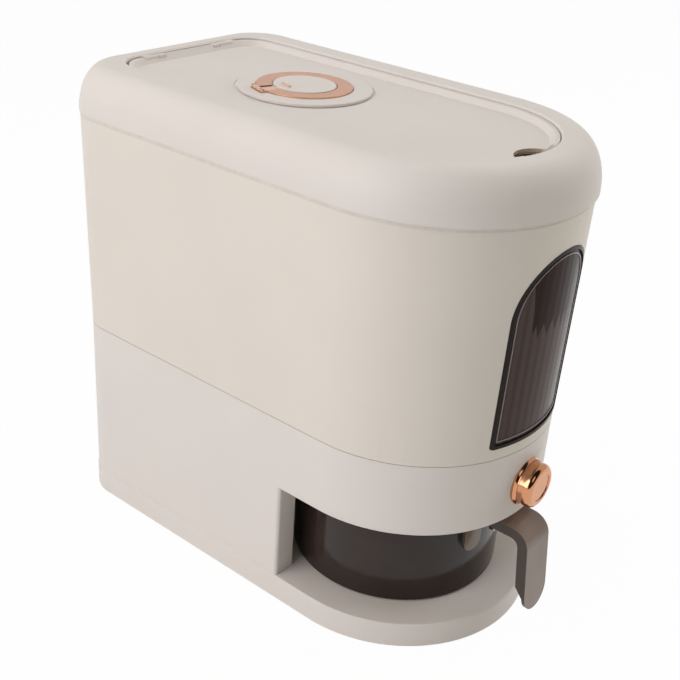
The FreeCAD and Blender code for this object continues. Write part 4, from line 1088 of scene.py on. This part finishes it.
@dataclass
class Lid:
    """Lid with its rounded roll, and the pin of the flap's hinge.

    Attributes:
        shop: the workshop.
        roll_in: how far the roll closes in at the sides and the nose.
        roll_back: how far it closes in at the back.
        roll_start: height of the straight foot under the roll.
        corner: radius of the back corners at the foot.
        corner_in: how much smaller that radius is at the top.
        moulded: angles, in degrees, of the levels that the solid's facets lie between.
        rows: how many strips the roll is divided into.
        facet_play: points this near the solid's facets are on the roll.
        edge: width of the softened edges.
        ledge: height of the ledge that the flap's front lies over; the scoop's painted shade stops there.
        scoop_floor: height of the floor of the scoop under the notch.
        scoop: radius of the scoop.
        scoop_band: faces this far outside that radius still get the scoop's painted shade.
        scoop_sill: how far below the floor a face may lie and still get the scoop's painted shade.
    """

    shop: Workshop
    roll_in: float = 0.0186
    roll_back: float = 0.0101
    roll_start: float = 0.0012
    corner: float = 0.0324
    corner_in: float = 0.0064
    moulded: tuple[int, ...] = (0, 22, 42, 61, 76, 90)
    rows: int = 20
    facet_play: float = 0.0004
    edge: float = 0.0004
    ledge: float = 0.3384
    scoop_floor: float = 0.3285
    scoop: float = 0.0168
    scoop_band: float = 0.0004
    scoop_sill: float = 0.0001

    def __post_init__(self) -> None:
        """Reads the lid's outline from the frame."""
        low, high = self.shop.box("lid_frame")
        seal_top = self.shop.box("lid_seal")[1].z
        self.half, self.back = high.x, high.y
        self.nose_y = low.y + self.half
        self.start = seal_top + self.roll_start
        self.rise = high.z - self.start

    def closing(self, z: float, rounded: bool) -> float:
        """Finds the share of the roll's closing at a height.

        Args:
            z: the height.
            rounded: whether it is for the true roll, and not for the solid's facets.

        Returns:
            The share, from 0 at the foot to 1 at the top.
        """
        height = min(1.0, max(0.0, (z - self.start) / self.rise))
        if rounded:
            return 1 - math.sqrt(1 - height * height)
        levels = [math.radians(angle) for angle in self.moulded]
        for below, above in zip(levels, levels[1:]):
            if height <= math.sin(above) + ROUNDING:
                share = (height - math.sin(below)) / (math.sin(above) - math.sin(below))
                return 1 - math.cos(below) - (math.cos(above) - math.cos(below)) * share
        return 1.0

    def depth(self, place: Vector, closing: float) -> float:
        """Measures how far a point lies inside the roll's outline.

        Args:
            place: the point.
            closing: share of the roll's closing at its height.

        Returns:
            The distance.
        """
        half = self.half - self.roll_in * closing
        back = self.back - self.roll_back * closing
        corner = self.corner - self.corner_in * closing
        if place.y < self.nose_y:
            return half - math.hypot(place.x, place.y - self.nose_y)
        across, along = abs(place.x) - (half - corner), place.y - (back - corner)
        if across > 0 and along > 0:
            return corner - math.hypot(across, along)
        return min(half - abs(place.x), back - place.y)

    def round_roll(self, work: bmesh.types.BMesh) -> None:
        """Cuts the roll into strips and moves them out to its true curve.

        Args:
            work: the lid's mesh.
        """
        for row in range(1, self.rows):
            level = self.start + self.rise * math.sin(math.radians(90 * row / self.rows))
            geometry = work.verts[:] + work.edges[:] + work.faces[:]
            bmesh.ops.bisect_plane(work, geom=geometry, dist=WELD, plane_co=(0, 0, level),
                                   plane_no=(0, 0, 1))
        for vertex in work.verts:
            place = vertex.co
            if not self.start < place.z < self.start + self.rise:
                continue
            flat = self.closing(place.z, False)
            if abs(self.depth(place, flat)) > self.facet_play:
                continue
            true = self.closing(place.z, True)
            half_flat, half_true = self.half - self.roll_in * flat, self.half - self.roll_in * true
            reach_flat, reach_true = self.back - self.roll_back * flat, self.back - self.roll_back * true
            ahead = place.y - self.nose_y
            along = half_true / half_flat
            if ahead > 0:
                along = (reach_true - self.nose_y) / (reach_flat - self.nose_y)
            vertex.co = (place.x * half_true / half_flat, self.nose_y + ahead * along, place.z)
        level_knuckles(work, *self.shop.box("hinge_pin"))

    def build(self) -> None:
        """Dresses the lid."""
        front = self.shop.box("flap")[0].y
        scoop = notch_cutter(self.shop, self.scoop_floor, self.scoop)
        lid = self.shop.skin("lid_frame", Body.HOUSING, CREAM, "cream_plastic", self.edge,
                             shape=self.round_roll, cuts=(scoop,))
        # The scoop's wall and floor get a dark brown painted shade, which stands in for the shade deep in the
        # notch.
        accent(lid, self.shop.finish(PAINTED_SCOOP_SHADE), lambda centre, normal: (
            self.scoop_floor - self.scoop_sill < centre.z < self.ledge
            and math.hypot(centre.x, centre.y - front) < self.scoop + self.scoop_band))
        self.shop.paint("hinge_pin", CREAM)


@dataclass
class Flap:
    """Dished filling flap with its soft inner slopes.

    Attributes:
        shop: the workshop.
        tray_drop: depth of the tray under the lip.
        lip_out: points of the flap further from its middle than this are on the lip or below it.
        level_play: how far a point may lie off a level that it belongs to.
        slope: least and greatest share of upward tilt of the slope's faces.
        level: least share of upward tilt of a level face.
        slope_soft: how far the slope's two bends are rounded.
        slope_steps: how many pieces a rounded bend has.
        groove_depth: depth of the groove round the dial under the tray.
        groove_width: how far the groove reaches out from the dial.
        groove_under: how far it reaches in under the dial.
        edge: width of the other softened edges.
        notch_band: faces this near the notch's radius are its wall, which gets a painted shade.
        notch_reach: half the width of the part with the painted shade.
        notch_tilt: faces of the notch's wall point upwards by less than this share.
    """

    shop: Workshop
    tray_drop: float = 0.0037
    lip_out: float = 0.06
    level_play: float = 2e-5
    slope: tuple[float, float] = (0.3, 0.9)
    level: float = 0.99
    slope_soft: float = 0.0016
    slope_steps: int = 4
    groove_depth: float = 0.0020
    groove_width: float = 0.0018
    groove_under: float = 0.0014
    edge: float = 0.0004
    notch_band: float = 0.0006
    notch_reach: float = 0.0148
    notch_tilt: float = 0.5

    def soften(self, work: bmesh.types.BMesh) -> None:
        """Rounds the two bends of the slope between lip and tray.

        Args:
            work: the flap's mesh.
        """
        top = max(vertex.co.z for vertex in work.verts if abs(vertex.co.x) > self.lip_out)
        least, most = self.slope
        floor = top - self.tray_drop
        bends = []
        for edge in work.edges:
            if len(edge.link_faces) != 2:
                continue
            tilts = sorted(abs(face.normal.z) for face in edge.link_faces)
            levels = [vertex.co.z for vertex in edge.verts]
            on_level = any(all(abs(z - level) < self.level_play for z in levels) for level in (top, floor))
            if on_level and least < tilts[0] < most and tilts[1] > self.level:
                bends.append(edge)
        LOG.info("flap: %d bends softened", len(bends))
        bmesh.ops.bevel(work, geom=bends, offset=self.slope_soft, offset_type="OFFSET", profile=0.5,
                        segments=self.slope_steps, affect="EDGES", clamp_overlap=True)
        level_knuckles(work, *self.shop.box("hinge_pin"))

    def groove(self) -> bpy.types.Mesh:
        """Makes the ring-shaped cutter for the groove round the dial.

        Returns:
            A closed mesh.
        """
        low, high = self.shop.box("desiccant_cap")
        radius = high.x
        floor = self.shop.box("flap")[1].z - self.tray_drop - self.groove_depth
        top = high.z + self.groove_width
        profile = [(floor, radius - self.groove_under), (top, radius - self.groove_under),
                   (top, radius + self.groove_width), (floor, radius + self.groove_width)]
        return lathe("dial_groove", profile, (low + high) / 2, upright=True)

    def build(self) -> None:
        """Dresses the flap."""
        floor = self.shop.box("lid_frame")[0].z
        front = self.shop.box("flap")[0].y
        flap = self.shop.skin("flap", Body.FLAP, CREAM, "cream_plastic", self.edge, angle=34.0,
                              shape=self.soften, cuts=(self.groove(), notch_cutter(self.shop, floor)))
        # The notch's cut wall gets a brown painted shade, which stands in for the shade inside the notch.
        accent(flap, self.shop.finish(PAINTED_NOTCH_SHADE), lambda centre, normal: (
            abs(normal.z) < self.notch_tilt and abs(centre.x) < self.notch_reach
            and abs(math.hypot(centre.x, centre.y - front) - NOTCH_RADIUS) < self.notch_band))


@dataclass
class DesiccantDial:
    """Dial with its basket, strap and lift ring.

    Attributes:
        shop: the workshop.
        edge: width of the dial's softened edges.
        wire: width of the ring's softened edges.
        island: radius of the dial's raised middle.
        island_drop: how far it lies below the ring's top.
        island_edge: radius of its rounded edge.
        island_root: how far below its top its flank starts.
        skirt: thickness of the dial's rim, which dips into the groove of the flap.
        skirt_reach: how far the rim reaches below the dial's middle.
        skirt_drop: how far the rim's upper end lies below it.
        skirt_play: how far the rim lies inside the dial's own edge.
    """

    shop: Workshop
    edge: float = 0.0005
    wire: float = 0.0003
    island: float = 0.0219
    island_drop: float = 0.0012
    island_edge: float = 0.0003
    island_root: float = 0.0022
    skirt: float = 0.0011
    skirt_reach: float = 0.0031
    skirt_drop: float = 0.0014
    skirt_play: float = 0.00002

    def raise_centre(self, work: bmesh.types.BMesh) -> None:
        """Adds the raised middle of the dial, inside the ring, and the rim that dips into the groove.

        Args:
            work: the dial's mesh.
        """
        low, high = self.shop.box("desiccant_cap")
        centre = (low + high) / 2
        top = self.shop.box("lift_ring")[1].z - self.island_drop
        radius, reach = self.island, self.island_edge
        profile = [(top - self.island_root, 0.0), (top - self.island_root, radius)]
        profile += quarter(top - reach, radius - reach, reach, 0, -90, 4)
        profile.append((top, 0.0))
        disc = lathe("dial_middle", profile, centre, upright=True)
        outer, foot = high.x - self.skirt_play, max(low.z, top - self.skirt_reach)
        inner, head = outer - self.skirt, top - self.skirt_drop
        wall = [(foot, inner), (head, inner), (head, outer), (foot, outer)]
        skirt = lathe("dial_skirt", wall, centre, upright=True)
        for shell in (disc, skirt):
            work.from_mesh(shell)
            bpy.data.meshes.remove(shell)

    def build(self) -> None:
        """Dresses the dial."""
        self.shop.skin("desiccant_cap", Body.DESICCANT, CREAM, "cream_plastic", self.edge,
                       shape=self.raise_centre)
        self.shop.paint("desiccant_basket", INNER)
        self.shop.skin("ring_saddle", Body.DESICCANT, CURL, "rose_metal", self.wire)
        self.shop.skin("lift_ring", Body.RING, RING, "rose_metal", self.wire)


@dataclass
class PushButton:
    """Plated button in its collar, with the stem, the return spring and the gate that it slides.

    Attributes:
        shop: the workshop.
        rim: width of the button's rounded rim.
        waist: how much narrower the button is behind its rim.
        cove: how far the collar's hollow flank runs forward along the button.
        gap: clearance between the button's rim and the collar's lip.
        dish: depth of its sunk face.
        dish_rim: width of the flat round the sunk face.
        wall: thickness of the button's and the collar's wall.
        wire: diameter of the spring's wire.
        turns: the spring's turns.
        stroke_left: length of the pressed spring over its free length; not used.
        facets: how many facets go round the button and its collar.
    """

    shop: Workshop
    rim: float = 0.0042
    dish: float = 0.0007
    dish_rim: float = 0.0010
    waist: float = 0.00012
    cove: float = 0.0010
    gap: float = 0.00005
    wall: float = 0.0012
    wire: float = 0.0014
    turns: float = 6.0
    stroke_left: float = 0.69
    facets: int = 128

    def __post_init__(self) -> None:
        """Reads the button's place from the frame."""
        self.low, self.high = self.shop.box("button_cap")
        self.radius = self.high.x
        self.centre = Vector((0.0, self.low.y, (self.low.z + self.high.z) / 2))

    def cap_mesh(self) -> bpy.types.Mesh:
        """Makes the hollow cap with its rounded rim and its shallow sunk face.

        Returns:
            The cap's mesh.
        """
        front, rear = self.low.y, self.high.y
        face = self.radius - self.rim - self.dish_rim
        profile = [(front + self.dish, 0.0), (front + self.dish, face - self.dish)]
        profile += quarter(front + self.dish, face, self.dish, 180, 90, 4)
        profile += quarter(front + self.rim, self.radius - self.rim, self.rim, 90, 0, 10)
        steps = 6
        for step in range(1, steps + 1):
            fall = self.waist * (1 - math.cos(math.pi * step / steps)) / 2
            profile.append((front + self.rim + self.rim * step / steps, self.radius - fall))
        inner = self.radius - self.waist - self.wall
        profile += [(rear, self.radius - self.waist), (rear, inner)]
        profile += [(front + self.rim, inner), (front + 2 * self.dish + self.wall, inner - self.wall),
                    (front + 2 * self.dish + self.wall, 0.0)]
        return lathe("button_cap_turned", profile, self.centre, self.facets)

    def collar_mesh(self) -> bpy.types.Mesh:
        """Makes the sleeve round the button with its rolled lip.

        Returns:
            The collar's mesh.
        """
        low, high = self.shop.box("button_collar")
        outer, inner = high.x, high.x - self.wall
        tip, root = low.y - self.cove, low.y + self.wall
        lip = self.radius + self.gap
        profile = [(high.y, inner), (high.y, outer), (root, outer)]
        steps = 8
        for step in range(1, steps + 1):
            rise = math.sin(math.pi / 2 * step / steps)
            profile.append((root + (tip - root) * step / steps, outer + (lip + self.gap * 3 - outer) * rise))
        profile += [(tip, lip), (tip + self.wall, lip), (tip + 2 * self.wall, inner)]
        return lathe("button_collar_turned", profile, self.centre, self.facets)

    def spring(self) -> bpy.types.Object:
        """Makes the helical return spring on the button's axis.

        Returns:
            The spring's object.
        """
        low, high = self.shop.box("button_spring")
        recipe = Recipe("button_spring_wound")
        wire = recipe.size("Wire radius", self.wire / 2)
        radius = recipe.size("Coil radius", high.x - self.wire / 2)
        length = recipe.size("Length", high.y - low.y - self.wire)
        turns = recipe.size("Turns", self.turns)
        start = recipe.size("Front end", low.y + self.wire / 2)
        level = recipe.size("Axis height", self.centre.z)
        coil = recipe.out("GeometryNodeCurveSpiral", Resolution=28, Rotations=turns, Start_Radius=radius,
                           End_Radius=radius, Height=length)
        laid = recipe.out("GeometryNodeTransform", Geometry=recipe.tube(coil, wire, 10),
                           Rotation=(-math.pi / 2, 0.0, 0.0),
                           Translation=recipe.out("ShaderNodeCombineXYZ", Y=start, Z=level))
        return recipe.make(laid, self.shop.finish(STEEL), 60)

    def build(self) -> None:
        """Makes and dresses the button and what it moves."""
        for name, mesh, body in (("button_cap", self.cap_mesh(), Body.BUTTON),
                                 ("button_collar", self.collar_mesh(), Body.HOUSING)):
            smooth(mesh, 32)
            self.shop.piece(new_object(mesh.name, mesh), body, BUTTON, "button_metal", name)
        spring = self.shop.piece(self.spring(), Body.HOUSING, STEEL, "spring_steel", "button_spring")
        fixed_end = self.shop.box("button_spring")[1].y
        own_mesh(spring)
        for node in ("button_stem", "gate_plate", "outlet_frame"):
            self.shop.paint(node, INNER)


@dataclass
class MeasuringCup:
    """Smoked cup with its paler grip.

    Attributes:
        shop: the workshop.
        edge: width of the cup's softened edges.
        grip_edge: width of the grip's softened edges.
        side_turn: faces turned sideways by more than this get the grip's painted side shade.
    """

    shop: Workshop
    edge: float = 0.0006
    grip_edge: float = 0.0008
    side_turn: float = 0.5

    def build(self) -> None:
        """Dresses the cup."""
        self.shop.skin("measuring_cup", Body.CUP, CUP, "smoked_cup", self.edge)
        grip = self.shop.skin("cup_handle", Body.CUP, HANDLE, "handle_plastic", self.grip_edge)
        # The grip's sideways faces get a dark painted shade, which stands in for the shade on its flanks.
        accent(grip, self.shop.finish(PAINTED_GRIP_SIDE_SHADE), lambda centre, normal: abs(normal.x) > self.side_turn)


# --- scene ----------------------------------------------------------------------------------------


@dataclass
class Studio:
    """Floor, soft lamps, white surroundings and the camera.

    Attributes:
        camera_place: the camera's place.
        right: the camera's right-hand direction.
        back: the direction from the subject to the camera.
        lens: focal length in millimetres on a 36 mm square sensor.
        paper: share of plain white in the floor as the camera sees it.
        ambient: strength of the light from all round.
        ambient_color: its colour.
        mirrored: strength of the surroundings in reflections.
        dark_side: direction of the unlit part of the room that shiny pieces mirror.
        dark_level: its strength in reflections.
        dark_edge: where the dark part starts and is full, as the cosine of the angle from its middle.
        streak_level: strength of the bright spot in its middle.
        streak_edge: where that spot starts and is full, in the same way.
        floor_half: half the floor's width.
        floor_tone: linear colour of the floor under the lamps.
        aim: the point that the lamps face.
    """

    camera_place: Point = (-0.5747, -0.43855, 0.5447)
    right: Point = (0.6355, -0.7693, 0.0656)
    back: Point = (-0.7013, -0.5396, 0.4659)
    lens: float = 58.51
    paper: float = 0.97
    ambient: float = 0.24
    ambient_color: Color = (1.0, 1.0, 0.82)
    mirrored: float = 0.7
    dark_side: Point = (-0.3, -0.75, 0.58)
    dark_level: float = 0.02
    dark_edge: tuple[float, float] = (0.52, 0.72)
    streak_level: float = 1.0
    streak_edge: tuple[float, float] = (0.965, 0.985)
    floor_half: float = 6.0
    floor_tone: Color = (0.9, 0.9, 0.9)
    aim: Point = (0.0, 0.0, 0.18)

    def background_ray(self, nodes: Nodes) -> Socket:
        """Finds the rays that should meet the plain background: seen, mirrored or passed through.

        Args:
            nodes: the material's nodes.

        Returns:
            A socket that is 1 for those rays.
        """
        rays = nodes.add("ShaderNodeLightPath").outputs
        total = nodes.math("MAXIMUM", rays["Is Camera Ray"], rays["Is Glossy Ray"])
        return nodes.math("MAXIMUM", total, rays["Is Transmission Ray"])

    def floor(self) -> None:
        """Makes the pale floor, which keeps the shadow and blends into the white surroundings."""
        half = self.floor_half
        mesh = bpy.data.meshes.new("floor")
        corners = [(-half, -half, 0), (half, -half, 0), (half, half, 0), (-half, half, 0)]
        mesh.from_pydata(corners, [], [(0, 1, 2, 3)])
        sheet = NodeSheet("floor_paper")
        sheet.dress(Base_Color=self.floor_tone + OPAQUE, Roughness=1.0)
        share = sheet.math("MULTIPLY", self.background_ray(sheet), self.paper)
        mix = sheet.add("ShaderNodeMixShader", Fac=share)
        sheet.feed(mix.inputs[1], sheet.shader.outputs[0])
        sheet.feed(mix.inputs[2], sheet.out("ShaderNodeEmission", Color=WHITE))
        sheet.feed(sheet.tree.nodes["Material Output"].inputs["Surface"], mix.outputs[0])
        mesh.materials.append(sheet.material)
        new_object("floor", mesh)

    def surroundings(self) -> None:
        """Lights the scene from all round; the camera sees plain white and mirrors see a partly dark room."""
        world = bpy.data.worlds.new("white_room")
        bpy.context.scene.world = world
        world.use_nodes = True
        nodes = Nodes(world.node_tree)
        rays = nodes.add("ShaderNodeLightPath").outputs
        facing = nodes.add("ShaderNodeVectorMath", {"operation": "DOT_PRODUCT"})
        nodes.feed(facing.inputs[0], nodes.add("ShaderNodeTexCoord").outputs["Generated"])
        nodes.feed(facing.inputs[1], Vector(self.dark_side).normalized())
        levels = []
        for (start, full), outside, inside in ((self.dark_edge, self.mirrored, self.dark_level),
                                               (self.streak_edge, 0.0, self.streak_level)):
            fade = nodes.add("ShaderNodeMapRange", {"interpolation_type": "SMOOTHSTEP"},
                             Value=facing.outputs["Value"], From_Min=start, From_Max=full,
                             To_Min=outside, To_Max=inside)
            levels.append(fade.outputs["Result"])
        mirror = nodes.math("MAXIMUM", *levels)
        reflection = nodes.out("ShaderNodeMix", Factor=rays["Is Glossy Ray"], A=self.ambient, B=mirror)
        strength = nodes.out("ShaderNodeMix", Factor=rays["Is Camera Ray"], A=reflection, B=1.0)
        ground = nodes.tree.nodes["Background"].inputs
        nodes.feed(ground["Color"], nodes.blend(rays["Is Diffuse Ray"], WHITE, self.ambient_color + OPAQUE))
        nodes.feed(ground["Strength"], strength)

    def lamp(self, name: str, place: Point, size: float, power: float, color: Color,
             mirrored: bool = False) -> None:
        """Adds a square soft lamp that faces the dispenser.

        Args:
            name: the lamp's name.
            place: where it hangs.
            size: side length in metres.
            power: watts.
            color: its light's colour.
            mirrored: whether shiny pieces mirror the lamp itself.
        """
        data = bpy.data.lights.new(name, "AREA")
        data.size, data.energy, data.color = size, power, color
        lamp = bpy.data.objects.new(name, data)
        lamp.visible_glossy = mirrored
        bpy.context.scene.collection.objects.link(lamp)
        lamp.location = place
        lamp.rotation_euler = (Vector(self.aim) - Vector(place)).to_track_quat("-Z", "Y").to_euler()

    def camera(self) -> None:
        """Makes the camera."""
        data = bpy.data.cameras.new("camera")
        data.sensor_fit = "AUTO"
        data.sensor_width = 36.0
        data.lens = self.lens
        data.clip_start, data.clip_end = 0.01, 50.0
        camera = bpy.data.objects.new("camera", data)
        bpy.context.scene.collection.objects.link(camera)
        right, back = Vector(self.right), Vector(self.back).normalized()
        right = (right - back * right.dot(back)).normalized()
        turn = Matrix((right, back.cross(right), back)).transposed().to_4x4()
        camera.matrix_world = Matrix.Translation(Vector(self.camera_place)) @ turn
        bpy.context.scene.camera = camera

    def build(self) -> None:
        """Sets up the whole studio."""
        bpy.context.scene.view_settings.view_transform = "Standard"
        self.floor()
        self.surroundings()
        self.lamp("key_left", (-1.9, 0.35, 1.0), 1.5, 21.2, (0.93, 0.925, 1.0), True)
        self.lamp("high_left", (-1.1, 0.7, 1.8), 1.2, 6.4, (1.0, 0.95, 0.68))
        self.lamp("right_fill", (1.7, -0.9, 0.9), 1.4, 19.0, (1.0, 0.99, 0.96))
        self.lamp("top_fill", (0.0, 0.3, 1.9), 1.2, 9.2, (0.88, 0.91, 1.0))
        self.camera()


def main() -> None:
    """Builds the dressed dispenser round the frame."""
    logging.basicConfig(level=logging.INFO, format="%(name)s: %(message)s")
    shop = Workshop(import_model())
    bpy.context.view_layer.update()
    for assembly in (Stand, Bin, Window, Lid, Flap, DesiccantDial, PushButton, MeasuringCup):
        assembly(shop).build()
        LOG.info("%s done", assembly.__name__)
    Studio().build()


if __name__ == "__main__":
    main()
